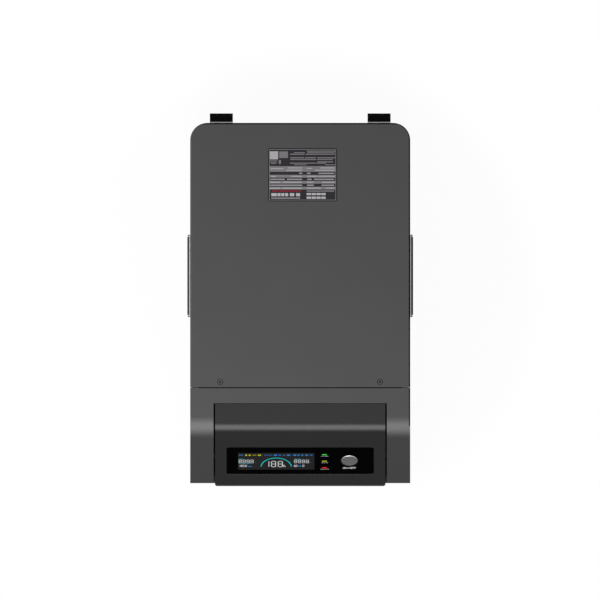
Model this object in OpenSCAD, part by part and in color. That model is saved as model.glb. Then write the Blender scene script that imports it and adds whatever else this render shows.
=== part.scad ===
// Portable battery power station: a steel housing on rubber feet, with a sloped display
// panel, folding side handles, mains and low-voltage sockets at the front and its inlets,
// main switch and fans at the rear. The origin is on the floor, under the middle.

/* [Housing] */
// Width across the sides
body_w = 320; // [310:1:340]
// Depth from the front face to the rear face
body_d = 524; // [515:1:550]
// Height without the feet
body_h = 396; // [385:1:420]
// Plan radius of the two rear corners
rear_r = 25; // [12:1:35]
// Radius of the cover's upper edge
edge_r = 2; // [1.6:0.1:3]
// Thickness of the sheet steel
sheet_t = 1.5; // [1:0.1:2]
// Wall of the moulded pieces
wall_t = 3; // [2.6:0.1:3.4]
// Open seam between the cover and the front moulding
seam_gap = 1; // [0.6:0.1:1.6]
// Length at each end where the moulding closes the seam
seam_end = 10.9; // [6:0.1:16]
// Clearance between neighbouring pieces
fit_gap = 0.3; // [0.2:0.05:0.4]
// Radial clearance of pins, shafts and the button
run_gap = 0.06; // [0.03:0.01:0.1]

/* [Front moulding] */
// Depth of the front moulding, from the front face to the seam
front_d = 138.8; // [132:0.1:146]
// Slope of the display face from the horizontal
face_slope = 53; // [50:1:56]
// Plan depth of the sloped flanks beside the fascia
flank_run = 76.8; // [70:0.2:80]
// Bend radius of the flanks
flank_r = 37; // [28:1:42]
// Width of the opening that the fascia sits in
opening_w = 252; // [251:0.5:254]
// Depth of the walls that line this opening
lining_d = 16; // [14:0.5:18]
// Height of the sill under the socket panel
sill_h = 36; // [28:1:44]

/* [Fascia] */
// Width of the fascia
fascia_w = 248; // [240:1:249]
// Step from the top of the housing down to the fascia
fascia_drop = 3; // [2:0.1:4]
// How far the fascia's lip stands before the front face
lip_out = 4.4; // [3:0.1:6]
// Plan depth of the fascia's slope, up to its upper corner
fascia_run = 83.1; // [80:0.1:88]
// Distance from the front face back to the fascia's rear edge
fascia_back = 116.4; // [112:0.2:120]
// Bend radius at the fascia's upper corner
fascia_r = 15.8; // [8:0.1:16]
// Radius of the fascia's lower lip
lip_r = 15; // [8:0.5:18]
// Height of the lip's upright front below that radius
lip_h = 8; // [5:0.5:12]

/* [Display] */
// Width of the display window
window_w = 214; // [205:0.5:220]
// Height of the display window along the slope
window_h = 64.5; // [58:0.5:66]
// Corner radius of the window
window_r = 4; // [2:0.5:8]
// Thickness of the window
window_t = 2; // [1.6:0.1:2.2]
// Height of the window's middle above the foot of the slope
window_v = 61.4; // [58:0.2:64]
// Width of the visible display
lcd_w = 111.4; // [100:0.2:116]
// Height of the visible display
lcd_h = 41; // [34:0.2:46]
// Distance of the display's middle left of the fascia's middle
lcd_off = 34.9; // [30:0.1:40]
// Distance of the display's middle below the window's middle
lcd_drop = 1.6; // [0:0.1:2.4]
// Width of an indicator light
light_w = 7.3; // [5:0.1:9]
// Height of an indicator light
light_h = 3.9; // [3:0.1:6]
// Distance of the lights right of the fascia's middle
light_off = 35.3; // [32:0.1:40]
// Spacing of the lights
light_pitch = 15.8; // [12:0.1:18]
// Distance of the middle light below the window's middle
light_drop = 1; // [0:0.1:3]

/* [Power button] */
// Radius of the button's cap
button_r = 12.4; // [10:0.1:13]
// Distance of the button right of the fascia's middle
button_off = 71.6; // [68:0.1:76]
// Distance of the button above the window's middle
button_rise = 0.9; // [0:0.1:3]
// How far the button stands out of the window
button_out = 0.8; // [0.8:0.1:3]
// How far the button travels
button_travel = 2; // [1:0.1:2.1]
// Width of the rim around the button
rim_w = 2.2; // [1.5:0.1:3]
// Radius of the button's stem
stem_r = 3; // [2:0.1:4]

/* [Socket panel] */
// Depth of the socket panel behind the front face
panel_set = 10; // [9.5:0.1:12]
// Radius of a mains socket's body behind the panel
outlet_r = 22; // [20:0.5:24]
// Depth of this body behind the panel's face
outlet_d = 26; // [20:1:32]
// Distance between the two blade slots of a mains socket
blade_pitch = 12.7; // [12:0.1:13.4]
// Width of a blade slot
blade_w = 2.4; // [2:0.1:2.8]
// Height of a blade slot
blade_h = 8; // [7:0.1:9]
// Distance of the earth contact's hole below the blade slots
earth_drop = 11.9; // [11:0.1:13]
// Width of the earth contact's hole
earth_w = 5.2; // [4.6:0.1:5.6]
// Depth of the slots
blade_d = 17; // [15:0.5:19]
// Width and height of a mains socket's flange
flange_w = 58; // [56:0.5:60]
// Thickness of this flange
flange_t = 3; // [2.5:0.1:3.4]
// Spacing of the mains sockets across the panel
socket_dx = 64; // [62:0.5:66]
// Spacing of the mains sockets up the panel
socket_dz = 72; // [70:0.5:74]
// Thickness of a socket lid
lid_t = 3; // [2.4:0.1:3.2]
// Radius of a lid's knuckle
knuckle_r = 2.4; // [2:0.1:2.6]
// Radius of a lid's pin
lid_pin_r = 1.1; // [0.8:0.1:1.3]
// Bore radius of the 12 V socket
car_r = 10.6; // [10:0.1:11]
// Bore depth of the 12 V socket
car_d = 36; // [30:1:40]

/* [Side handles] */
// Length of a handle's pan
pan_l = 120; // [116:0.5:130]
// Distance of the handles behind the body's middle
handle_back = 39.5; // [30:0.5:45]
// Height of the handle's pivot below the top
pivot_drop = 60; // [50:1:80]
// Depth of the pan behind the outside of its flange
pan_d = 24; // [20:0.5:28]
// Thickness of the pan's flange
pan_flange_t = 1.5; // [1.2:0.1:1.8]
// Wall of the pan
pan_t = 1.2; // [1:0.1:1.5]
// Distance from the pivot to the middle of the grip
bail_h = 46; // [42:0.5:52]
// Width of a bail's arm
arm_w = 11; // [8:0.5:14]
// Radius of the bail's bar
bar_r = 4; // [3.5:0.1:4.5]
// Radius of the rubber grip
grip_r = 6.5; // [6:0.1:7]
// How far the bail stands out of the flange
bail_out = 2.7; // [2.5:0.1:3]
// Radius of the bail's knuckle
bail_knuckle_r = 2.5; // [2.3:0.1:2.8]
// Radius of the handle's pin
handle_pin_r = 1.1; // [0.9:0.1:1.3]

/* [Rear] */
// Width of a rear buffer
buffer_w = 33.5; // [28:0.5:38]
// Depth of a rear buffer
buffer_d = 12.4; // [10:0.2:16]
// Height of a rear buffer
buffer_h = 250; // [220:5:280]
// Distance of a buffer's middle from the side
buffer_in = 45.3; // [40:0.1:48]
// Radius of the buffers' outer edges
buffer_r = 3.5; // [2:0.5:4.5]
// Thickness of the plates under the buffers
plate_t = 1.4; // [1:0.1:2]
// Width of the recess for the rear connections
recess_w = 160; // [150:1:165]
// Height of this recess
recess_h = 96; // [90:1:100]
// Depth of this recess
recess_d = 18; // [14:0.5:20]
// Side of a fan's square frame
fan_w = 80; // [76:1:84]
// Thickness of a fan
fan_t = 25; // [20:1:28]
// Spacing of the fans
fan_pitch = 92; // [88:1:96]
// Width of a vent slot
slot_w = 4; // [3:0.5:4]
// Spacing of the vent slots
slot_pitch = 8; // [7:0.5:10]

/* [Feet and plate] */
// Height of a foot
foot_h = 14; // [12:0.5:20]
// Radius of a foot
foot_r = 18; // [15:0.5:22]
// Distance of the feet from the sides
foot_in = 35; // [30:1:40]
// Distance of the feet from the front and the rear
foot_end = 40; // [34:1:48]
// Width of the rating plate
label_w = 100.5; // [90:0.5:110]
// Depth of the rating plate
label_d = 77.4; // [70:0.2:84]
// Thickness of the rating plate
label_t = 0.4; // [0.3:0.1:0.8]
// Distance from the plate's middle to the rear face
label_back = 75.5; // [60:0.5:120]

/* [Battery] */
// Room beside the cells on each side
cell_room = 1; // [0.5:0.1:3]
// Thickness of a cell
cell_t = 36; // [34:0.5:37]
// Height of a cell
cell_h = 130; // [120:1:136]
// Cells in each of the two rows
cell_count = 8; // [6:1:8]
// Thickness of the end plates
end_t = 3; // [2:0.5:4]

/* [Hidden] */
$fn = 64;

// Finishes
steel_grey = "#55575b";
moulded_grey = "#5a5c60";
fascia_grey = "#3a3b3e";
black_rubber = "#141415";
black_plastic = "#1c1c1e";
zinc = "#c4c6c8";
board_green = "#1f5a34";
copper = "#b4713d";

// The body's faces, with its middle at y = 0
front_y = -body_d / 2;
rear_y = body_d / 2;
side_x = body_w / 2;
base_z = foot_h;
top_z = foot_h + body_h;
seam_y = front_y + front_d;
seam_close = 0.2;
eps = 1;

// The middle of the whole box, from the lip to the buffers, lies over the origin
shift_y = (lip_out - plate_t - buffer_d) / 2;

// The fascia
lip_y = front_y - lip_out;
fascia_z = top_z - fascia_drop;
foot_z = fascia_z - fascia_run * tan(face_slope);
lip_arc = [lip_y + lip_r, slope_z(lip_y, fascia_run, fascia_z, lip_r, lip_y + lip_r)];
lip_z = lip_arc[1] - lip_h;
fascia_d = 12;
lip_corner_r = 3.4;
stop_w = 4;
panel_y = front_y + panel_set;
panel_bottom = base_z + sill_h;
panel_top = lip_z - fit_gap;

// The pieces behind the display, as depths below the face of the window
lcd_sink = 0.4;
ledge_w = 5;
board_depth = 10.4;
board_t = 1.6;
lcd_rim = 3;
cap_depth = 3.5;
cap_flange_t = 1.5;
cap_flange_r = button_r + 1.2;
stem_depth = 8;
switch_depth = 7.4;
switch_w = 12;
rim_h = 0.6;
collar_r = button_r + 1.6;
boss_r = 3;
control_w = window_w - 2 * ledge_w;
control_h = window_h - 2 * ledge_w;

// The mains sockets and their lids
socket_x = 22;
socket_z = lip_z - 56;
flange_y = panel_y - flange_t;
lid_gap = 0.5;
lid_w = flange_w - 4;
hinge_up = flange_w / 2 - 2;
hinge_y = flange_y - lid_gap - knuckle_r;
hinge_neck = 5;
ear_t = 3;
ear_in = lid_w / 2 - ear_t;
ear_r = knuckle_r + 0.4;
lid_r = 5;
blade_up = 4;
clip_t = 1;
clip_l = 8;

// The low-voltage sockets
car_x = -70;
car_flange_r = 18;
car_flange_t = 2;
car_wall = 2.6;
car_floor = 3;
car_contact_r = 3;
car_contact_l = 5;
usb_cols = [-100, -74];
usb_rows = [socket_z - socket_dz + 10, socket_z - socket_dz - 8];
usb_a = [13.2, 5.8];
usb_c = [9.4, 3.6];
usb_c_x = -48;
usb_l = 16;
usb_wall = 0.6;
panel_slots = 25;
panel_slot_h = 24;

// The side handles
pivot_z = top_z - pivot_drop;
pivot_x = side_x + pan_flange_t + bail_out - bail_knuckle_r;
flange_lap = 3;
pocket_l = pan_l - 2 * flange_lap;
bail_end_gap = 0.5;
bail_l = pocket_l - 2 * bail_end_gap;
ear_plate_t = 1;
knuckle_room = 0.8;
grip_room = 3.5;
pocket_up = bail_knuckle_r + knuckle_room;
pocket_down = bail_h + grip_r + grip_room;
bar_x = side_x + pan_flange_t + bail_out - grip_r;
pin_head_r = 1.6;
pin_head_l = pan_l / 2 - pocket_l / 2 - ear_plate_t;

// The cover's countersunk screws and the tongue under its front edge
screw_in = 43.8;
screw_x = side_x - screw_in;
screw_back = 8.7;
screw_y = seam_y + screw_back;
screw_head_r = 3.8;
screw_ring = 0.5;
screw_head_h = 2.3;
screw_r = 2;
screw_l = 9;
screw_sink = 0.1;
screw_z = top_z - screw_sink;
cross_l = 4.4;
cross_w = 0.9;
cross_d = 1.4;
tongue_t = 3;
tongue_l = 20;
tongue_z = top_z - sheet_t - tongue_t;

// The rating plate
label_x = 3.4;
label_r = 3;

// The buffers, the feet and their hexagon socket screws
buffer_x = side_x - buffer_in;
buffer_up = 70;
buffer_z = base_z + buffer_up;
buffer_screw_in = 30;
screw_rows = [buffer_screw_in, buffer_h - buffer_screw_in];
m5_r = 2.5;
m5_head_r = 4.75;
m5_head_h = 3.3;
m5_l = 16;
hex_r = 1.9;
hex_d = 2;
sink_d = 6;
sink_r = 6;
foot_x = side_x - foot_in;
foot_y = rear_y - foot_end;
foot_taper = 1.5;
tray_h = 20;

// The rear recess and the fans above it
recess_up = 80;
recess_z = base_z + recess_up;
lap_w = 8;
fan_up = 86;
fan_z = recess_z + recess_h + fan_up;
fan_slot_count = 9;
fan_slot_h = 70;
side_slot_count = 12;
side_slot_h = 44;
side_slot_up = 40;
side_slot_z = base_z + side_slot_up;
side_slot_y = [-40, 140];
inside_y = rear_y - sheet_t - fit_gap;

// The connections in the recess, as places across it and sizes of their cuts
io_z = recess_z + recess_h / 2;
io_y = rear_y - recess_d;
io_flange_t = 2;
io_floor = 2;
inlet_x = -48;
inlet_cut = [30, 24];
inlet_flange = [36, 30];
inlet_well = [25, 17];
inlet_d = 19;
inlet_pin = [2, 4];
inlet_pin_pitch = 7;
inlet_pin_rise = 3;
inlet_pin_set = 4;
inlet_tail = 6;
pv_x = 38;
pv_pitch = 24;
pv_cut = [17, 9.5];
pv_wall = 1;
pv_lip = 2;
pv_d = 14;
pv_pin_x = 3.6;
pv_pin_r = 1.75;
pv_pin_l = 11.5;
rocker_x = 2;
rocker_cut = [22, 30];
rocker_flange = [26, 34];
rocker_w = 18;
rocker_h = 24;
rocker_t = 9;
rocker_keel = 3;
rocker_ridge = 1.5;
rocker_tilt = 10;
rocker_pin_r = 1.5;
rocker_pin_in = 0.5;
rocker_room = 1.5;
rocker_sink = 4;
rocker_y = io_y - rocker_sink;
switch_d = 18;

// The fans
fan_rim = 2;
fan_bore_r = fan_w / 2 - fan_rim;
hub_r = 17;
shaft_r = 1.5;
shaft_end = 1.4;
rotor_t = 17;
rotor_gap = 0.6;
blade_count = 7;
blade_t = 1.4;
blade_l = 20;
blade_pitch_deg = 50;
blade_gap = 1.2;
blade_tip = fan_bore_r - blade_gap;
stator_t = 4;
stator_arm_w = 4;
stator_floor = 1;

// The deck's outside and the cells that fit inside it
deck_gap = 5;
deck_x = side_x - sheet_t - deck_gap;
row_gap = 6;
cell_w = deck_x - sheet_t - cell_room - row_gap / 2;
cell_gap = 0.6;
pack_y = 36;
pack_l = cell_count * (cell_t + cell_gap) - cell_gap;
pack_pad = 1;
pack_z = base_z + sheet_t + pack_pad;
pack_top = pack_z + cell_h;
row_x = (row_gap + cell_w) / 2;
terminal_r = 7;
terminal_h = 3;
busbar_t = 2;
busbar_w = 12;
terminal_in = 22;
terminal_x = cell_w / 2 - terminal_in;
rod_r = 2.5;
rod_rows = [35, 95];
nut_r = 4.5;
nut_h = 4;

bms_size = [130, 200];
bms_post_r = 3;
bms_post_in = [13, 20];

// The deck over the battery and what it carries
deck_room = 26;
deck_z = pack_top + deck_room;
deck_end = 5;
deck_l = pack_l + 2 * deck_end;
spacer_h = 8;
spacer_r = 3.5;
spacer_in = 8;
inverter_gap = 28.5;
inverter_w = 2 * (deck_x - inverter_gap);
inverter_l = 260;
inverter_z = deck_z + sheet_t + spacer_h;
sink_base_t = 6;
sink_w = 60;
sink_l = 180;
sink_h = 52;
sink_in = 55;
sink_x = inverter_w / 2 - sink_in;
sink_ahead = 20;
fin_count = 7;
fin_t = 2;
cap_count = 4;
cap_r = 15;
cap_h = 46;
cap_pitch = 33;
cap_ahead = 80;
lead_r = 4;
lead_end = 4;
lead_hole_gap = 3;
lug_rim = 2;
lug_h = 3;
lead_x = row_x + terminal_x * (cell_count % 2 == 0 ? -1 : 1);
lead_y = cell_y(cell_count - 1);

// The transformer and the fuse on the floor before the battery
coil_r = 42;
coil_bore_r = 16;
coil_h = 56;
coil_in = 90;
coil_ahead = 66;
fuse_base = [34, 90, 12];
fuse_r = 14;
fuse_l = 56;
fuse_z = 24;
fuse_clip = [20, 8, 14];
fuse_clip_y = 24;
fuse_in = 100;
fuse_ahead = 60;

function polar(c, r, a) = [c[0] + r * cos(a), c[1] + r * sin(a)];

// A sloped face over the depth "run" behind y, set inwards by d: its upper corner, then
// its height at any y
function corner_y(y, run, d) = y + run + d * tan(face_slope / 2);
function slope_z(y, run, z, d, at) = z - d - (corner_y(y, run, d) - at) * tan(face_slope);

function cell_y(i) = pack_y - pack_l / 2 + cell_t / 2 + i * (cell_t + cell_gap);

function socket_at(i) = [socket_x + (i % 2) * socket_dx, socket_z - floor(i / 2) * socket_dz];

module placed() {
    translate([0, shift_y, 0]) children();
}

// Extrudes an outline drawn in y and z across the body, from x = 0 both ways
module across(w) {
    translate([-w / 2, 0, 0]) rotate([90, 0, 90]) linear_extrude(w) children();
}

// Puts a piece on the fascia's slope: u to the right, v up the slope, z out of it
module on_slope(u = 0, v = 0) {
    translate([u, lip_y, foot_z]) rotate([face_slope, 0, 0]) translate([0, v, 0]) children();
}

// Turns a piece drawn along +Z to point out of the rear, or out of the front
module facing_rear() {
    rotate([-90, 0, 0]) children();
}

module facing_front() {
    rotate([90, 0, 0]) children();
}

module both_sides() {
    children();
    mirror([1, 0, 0]) children();
}

module one_side(side) {
    mirror([side < 0 ? 1 : 0, 0, 0]) children();
}

module sector(c, r, a0, a1) {
    intersection() {
        translate(c) circle(r);
        polygon([c, polar(c, 2 * r, a0), polar(c, 2 * r, (a0 + a1) / 2), polar(c, 2 * r, a1)]);
    }
}

module rounded(w, h, r) {
    square([w - 2 * r, h], center = true);
    square([w, h - 2 * r], center = true);
    for (x = [-1, 1], y = [-1, 1]) {
        translate([x * (w / 2 - r), y * (h / 2 - r)]) circle(r);
    }
}

module block(size) {
    translate([-size[0] / 2, -size[1] / 2, 0]) cube(size);
}

// Plan of the housing with its two round rear corners, set inwards by d
module plan(d, y0) {
    r = rear_r - d;
    w = side_x - d;
    y1 = rear_y - d;
    translate([-w, y0]) square([2 * w, y1 - r - y0]);
    translate([r - w, y0]) square([2 * (w - r), y1 - y0]);
    for (x = [-1, 1]) {
        translate([x * (w - r), y1 - r]) circle(r);
    }
}

// Side outline of the front, with its bend, set inwards by d
module front_outline(d, y_back, z_low) {
    c = [corner_y(front_y, flank_run, flank_r), top_z - flank_r];
    r = flank_r - d;
    y = front_y + d;
    polygon([[y_back, z_low], [y_back, top_z - d], polar(c, r, 90), polar(c, r, 90 + face_slope),
             [y, slope_z(front_y, flank_run, top_z, d, y)], [y, z_low]]);
    sector(c, r, 90, 90 + face_slope);
}

// Outer half profile of the cover's wall with its round upper edge
module edge_profile(w) {
    polygon([[0, base_z], [w, base_z], [w, top_z - edge_r], [w - edge_r, top_z], [0, top_z]]);
    sector([w - edge_r, top_z - edge_r], edge_r, 0, 90);
}

module vent(count, h) {
    for (i = [0 : count - 1]) {
        translate([(i - (count - 1) / 2) * slot_pitch - slot_w / 2, -h / 2, -eps]) {
            cube([slot_w, h, 2 * eps + sheet_t + wall_t]);
        }
    }
}

// ---- Housing ----

module base_tray() {
    color(steel_grey) placed() {
        front = front_y + wall_t + fit_gap;
        back = sheet_t + fit_gap;
        front_w = body_w - 2 * wall_t - 2 * fit_gap;
        difference() {
            union() {
                translate([0, 0, base_z]) linear_extrude(tray_h) plan(back, seam_y + eps);
                translate([-front_w / 2, front, base_z]) cube([front_w, front_d, tray_h]);
            }
            translate([0, 0, base_z + sheet_t]) {
                linear_extrude(tray_h) plan(back + sheet_t, seam_y);
                translate([sheet_t - front_w / 2, front + sheet_t, 0]) {
                    cube([front_w - 2 * sheet_t, front_d, tray_h]);
                }
            }
            for (x = [-1, 1], y = [-1, 1]) {
                translate([x * foot_x, y * foot_y, 0]) {
                    cylinder(r = m5_r + run_gap, h = top_z);
                }
            }
        }
    }
}

module cover_solid() {
    y0 = seam_y + seam_gap / 2;
    y1 = rear_y - rear_r;
    translate([0, y1, 0]) facing_front() linear_extrude(y1 - y0) {
        edge_profile(side_x);
        mirror([1, 0]) edge_profile(side_x);
    }
    across(body_w - 2 * rear_r) translate([y1, 0]) edge_profile(rear_r);
    both_sides() {
        translate([side_x - rear_r, y1, 0]) rotate_extrude(angle = 90) edge_profile(rear_r);
    }
}

module top_cover() {
    color(steel_grey) placed() difference() {
        cover_solid();
        translate([0, 0, base_z - eps]) {
            linear_extrude(top_z - sheet_t - base_z + eps) plan(sheet_t, seam_y - eps);
        }
        // Handle openings
        both_sides() {
            translate([side_x, handle_back, pivot_z]) {
                translate([-wall_t, -pocket_l / 2 - pan_t - fit_gap, -pocket_down - pan_t - fit_gap]) {
                    cube([2 * wall_t, pocket_l + 2 * (pan_t + fit_gap),
                          pocket_down + pocket_up + 2 * (pan_t + fit_gap)]);
                }
            }
        }
        // Connection recess and fan vents
        translate([-recess_w / 2, rear_y - 2 * sheet_t, recess_z]) {
            cube([recess_w, 4 * sheet_t, recess_h]);
        }
        for (x = [-1, 1]) {
            translate([x * fan_pitch / 2, rear_y - sheet_t, fan_z]) facing_rear() {
                vent(fan_slot_count, fan_slot_h);
            }
        }
        // Side vents
        both_sides() for (y = side_slot_y) {
            translate([side_x - sheet_t, y, side_slot_z + side_slot_h / 2]) {
                rotate([0, 90, 0]) rotate([0, 0, 90]) vent(side_slot_count, side_slot_h);
            }
        }
        // Screw holes in the top and behind the buffers
        cover_screw_holes();
        buffer_screw_places() cylinder(r = m5_r + run_gap, h = m5_l);
    }
}

// Countersunk screws hold the cover's front edge down on the front moulding
module cover_screw_holes() {
    for (x = [-1, 1]) {
        translate([x * screw_x, screw_y, screw_z]) {
            translate([0, 0, -screw_l - eps]) cylinder(r = screw_r + run_gap, h = screw_l);
            translate([0, 0, -screw_head_h]) {
                cylinder(r1 = screw_r + run_gap, r2 = screw_head_r + screw_ring, h = screw_head_h);
            }
            cylinder(r = screw_head_r + screw_ring, h = eps);
        }
    }
}

module cover_screws() {
    color(zinc) placed() for (x = [-1, 1]) {
        translate([x * screw_x, screw_y, screw_z]) difference() {
            union() {
                translate([0, 0, -screw_head_h]) cylinder(r1 = screw_r, r2 = screw_head_r, h = screw_head_h);
                translate([0, 0, -screw_l]) cylinder(r = screw_r, h = screw_l - screw_head_h);
            }
            for (a = [0, 90]) {
                rotate([0, 0, a]) translate([0, 0, -cross_d]) block([cross_l, cross_w, cross_d + eps]);
            }
        }
    }
}

module front_bezel() {
    y1 = seam_y - seam_gap / 2;
    opening_y = front_y + fascia_back;
    ledge_l = fascia_w - 2 * wall_t - 2 * fit_gap;
    color(moulded_grey) placed() difference() {
        union() {
            difference() {
                across(body_w) front_outline(0, y1, base_z);
                across(body_w - 2 * wall_t) front_outline(wall_t, y1 + eps, base_z - eps);
                translate([-opening_w / 2, front_y - eps, panel_bottom]) {
                    cube([opening_w, fascia_back + eps, body_h]);
                }
            }
            // Walls that line the opening
            both_sides() translate([opening_w / 2 + wall_t / 2, 0, 0]) across(wall_t) difference() {
                front_outline(0, opening_y + wall_t, panel_bottom - wall_t);
                front_outline(lining_d, opening_y + wall_t + eps, base_z - eps);
            }
            translate([-opening_w / 2 - wall_t, opening_y, top_z - lining_d]) {
                cube([opening_w + 2 * wall_t, wall_t, lining_d]);
            }
            translate([-opening_w / 2 - wall_t, front_y, panel_bottom - wall_t]) {
                cube([opening_w + 2 * wall_t, lining_d, wall_t]);
            }
            // Ledge that carries the fascia's rear edge
            translate([-ledge_l / 2, opening_y - 2 * wall_t, fascia_z - fascia_d - wall_t - fit_gap]) {
                cube([ledge_l, 2 * wall_t + eps, wall_t]);
            }
            // Ends of the seam, where the moulding closes against the cover
            both_sides() translate([side_x, y1 - wall_t, base_z]) difference() {
                translate([-seam_end, 0, 0]) cube([seam_end, wall_t + seam_gap - seam_close, body_h]);
                translate([-seam_end - eps, -eps, -eps]) {
                    cube([seam_end - wall_t + eps, wall_t + seam_gap + 2 * eps, body_h - wall_t + eps]);
                }
            }
            // Stops behind the gaps at the fascia's sides
            both_sides() translate([opening_w / 2 - stop_w, front_y, lip_z - fit_gap - wall_t]) {
                cube([stop_w + wall_t, panel_set - fit_gap, wall_t]);
            }
            // Tongue under the cover's front edge
            translate([-side_x + 2 * wall_t, y1 - wall_t, tongue_z - fit_gap]) {
                cube([body_w - 4 * wall_t, tongue_l + wall_t, tongue_t]);
            }
        }
        cover_screw_holes();
    }
}

module rating_plate() {
    color("#45424d") placed() translate([label_x, rear_y - label_back, top_z]) {
        linear_extrude(label_t) rounded(label_w, label_d, label_r);
    }
}

// ---- Sloped face ----

module fascia_outline() {
    c = [corner_y(lip_y, fascia_run, fascia_r), fascia_z - fascia_r];
    back_y = front_y + fascia_back - fit_gap;
    polygon([[back_y, fascia_z - fascia_d], [back_y, fascia_z], polar(c, fascia_r, 90),
             polar(c, fascia_r, 90 + face_slope), polar(lip_arc, lip_r, 90 + face_slope),
             polar(lip_arc, lip_r, 180), [lip_y, lip_z],
             [panel_y + wall_t, lip_z], [panel_y + wall_t, lip_z + fascia_d],
             [back_y - wall_t, fascia_z - fascia_d]]);
    sector(c, fascia_r, 90, 90 + face_slope);
    sector(lip_arc, lip_r, 90 + face_slope, 180);
}

module fascia_hollow() {
    c = [corner_y(lip_y, fascia_run, fascia_r), fascia_z - fascia_r];
    r = fascia_r - wall_t;
    back_y = front_y + fascia_back - fit_gap - wall_t;
    polygon([[back_y, lip_z + wall_t], [back_y, fascia_z - wall_t], polar(c, r, 90),
             polar(c, r, 90 + face_slope), polar(lip_arc, lip_r - wall_t, 90 + face_slope),
             polar(lip_arc, lip_r - wall_t, 180), [lip_y + wall_t, lip_z + wall_t]]);
    sector(c, r, 90, 90 + face_slope);
    sector(lip_arc, lip_r - wall_t, 90 + face_slope, 180);
}

module fascia() {
    boss_x = control_w / 2 + ledge_w / 2;
    color(fascia_grey) placed() {
        difference() {
            across(fascia_w) fascia_outline();
            across(fascia_w - 2 * wall_t) fascia_hollow();
            // Round corners at the lip
            both_sides() translate([fascia_w / 2 - lip_corner_r, lip_y + lip_corner_r, base_z]) {
                difference() {
                    translate([0, -lip_corner_r - eps, 0]) {
                        cube([lip_corner_r + eps, lip_corner_r + eps, body_h]);
                    }
                    translate([0, 0, -eps]) cylinder(r = lip_corner_r, h = body_h + 2 * eps);
                }
            }
            on_slope(0, window_v) {
                translate([0, 0, -window_t]) linear_extrude(window_t + eps) {
                    rounded(window_w + fit_gap, window_h + fit_gap, window_r);
                }
                translate([0, 0, -wall_t - eps]) linear_extrude(wall_t + eps) {
                    square([control_w, control_h], center = true);
                }
            }
        }
        // Bosses that the control board is screwed to
        on_slope(0, window_v) for (x = [-1, 1], y = [-1, 1]) {
            translate([x * boss_x, y * (control_h / 2 - boss_r), -board_depth]) {
                cylinder(r = boss_r, h = board_depth - wall_t + 0.5);
            }
        }
    }
}

module display_window() {
    color("#08080a") placed() on_slope(0, window_v) translate([0, 0, -window_t]) difference() {
        linear_extrude(window_t) rounded(window_w, window_h, window_r);
        translate([-lcd_off, -lcd_drop, -eps]) linear_extrude(window_t + 2 * eps) {
            rounded(lcd_w, lcd_h, 1.5);
        }
        for (i = [-1 : 1]) {
            translate([light_off, i * light_pitch - light_drop, -eps]) {
                block([light_w, light_h, window_t + 2 * eps]);
            }
        }
        translate([button_off, button_rise, -eps]) {
            cylinder(r = collar_r + run_gap, h = window_t + 2 * eps);
        }
    }
}

module lcd_module() {
    back_t = board_depth - window_t - 2 * fit_gap;
    color("#26282c") placed() on_slope(-lcd_off, window_v - lcd_drop) {
        translate([0, 0, -window_t - fit_gap]) {
            linear_extrude(window_t + fit_gap - lcd_sink) {
                rounded(lcd_w - fit_gap, lcd_h - fit_gap, 1.5 - fit_gap / 2);
            }
        }
        translate([0, 0, -window_t - fit_gap - back_t]) {
            block([lcd_w + 2 * lcd_rim, lcd_h + 2 * lcd_rim, back_t]);
        }
    }
}

module light(step) {
    placed() on_slope(light_off, window_v + step * light_pitch - light_drop) {
        translate([0, 0, -board_depth]) {
            block([light_w - fit_gap, light_h - fit_gap, board_depth]);
        }
    }
}

module run_light() {
    color("#35d24a") light(1);
}

module charge_light() {
    color("#b9a52a") light(0);
}

module fault_light() {
    color("#e02a22") light(-1);
}

module power_button() {
    crown = 0.8;
    color("#6e7074") placed() on_slope(button_off, window_v + button_rise) {
        translate([0, 0, -cap_depth]) rotate_extrude() {
            polygon([[0, 0], [button_r, 0], [button_r, cap_depth + button_out - crown],
                     [button_r - crown, cap_depth + button_out], [0, cap_depth + button_out]]);
            sector([button_r - crown, cap_depth + button_out - crown], crown, 0, 90);
        }
        translate([0, 0, -cap_depth - cap_flange_t]) cylinder(r = cap_flange_r, h = cap_flange_t);
        translate([0, 0, -stem_depth]) {
            cylinder(r = stem_r, h = stem_depth - cap_depth - cap_flange_t + fit_gap);
        }
    }
}

module button_ring() {
    color(black_plastic) placed() on_slope(button_off, window_v + button_rise) difference() {
        union() {
            cylinder(r = button_r + rim_w, h = rim_h);
            translate([0, 0, fit_gap - cap_depth]) cylinder(r = collar_r, h = cap_depth - fit_gap);
        }
        translate([0, 0, -cap_depth]) cylinder(r = button_r + run_gap, h = cap_depth + 2 * rim_h);
    }
}

module button_switch() {
    color(black_plastic) placed() on_slope(button_off, window_v + button_rise) {
        translate([0, 0, -board_depth]) difference() {
            block([switch_w, switch_w, board_depth - switch_depth]);
            translate([0, 0, -eps]) cylinder(r = stem_r + run_gap, h = board_depth);
        }
    }
}

module control_board() {
    color(board_green) placed() on_slope(0, window_v) {
        translate([0, 0, -board_depth - board_t]) block([control_w + 6, control_h + 4, board_t]);
    }
}

// ---- Socket panel ----

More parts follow.
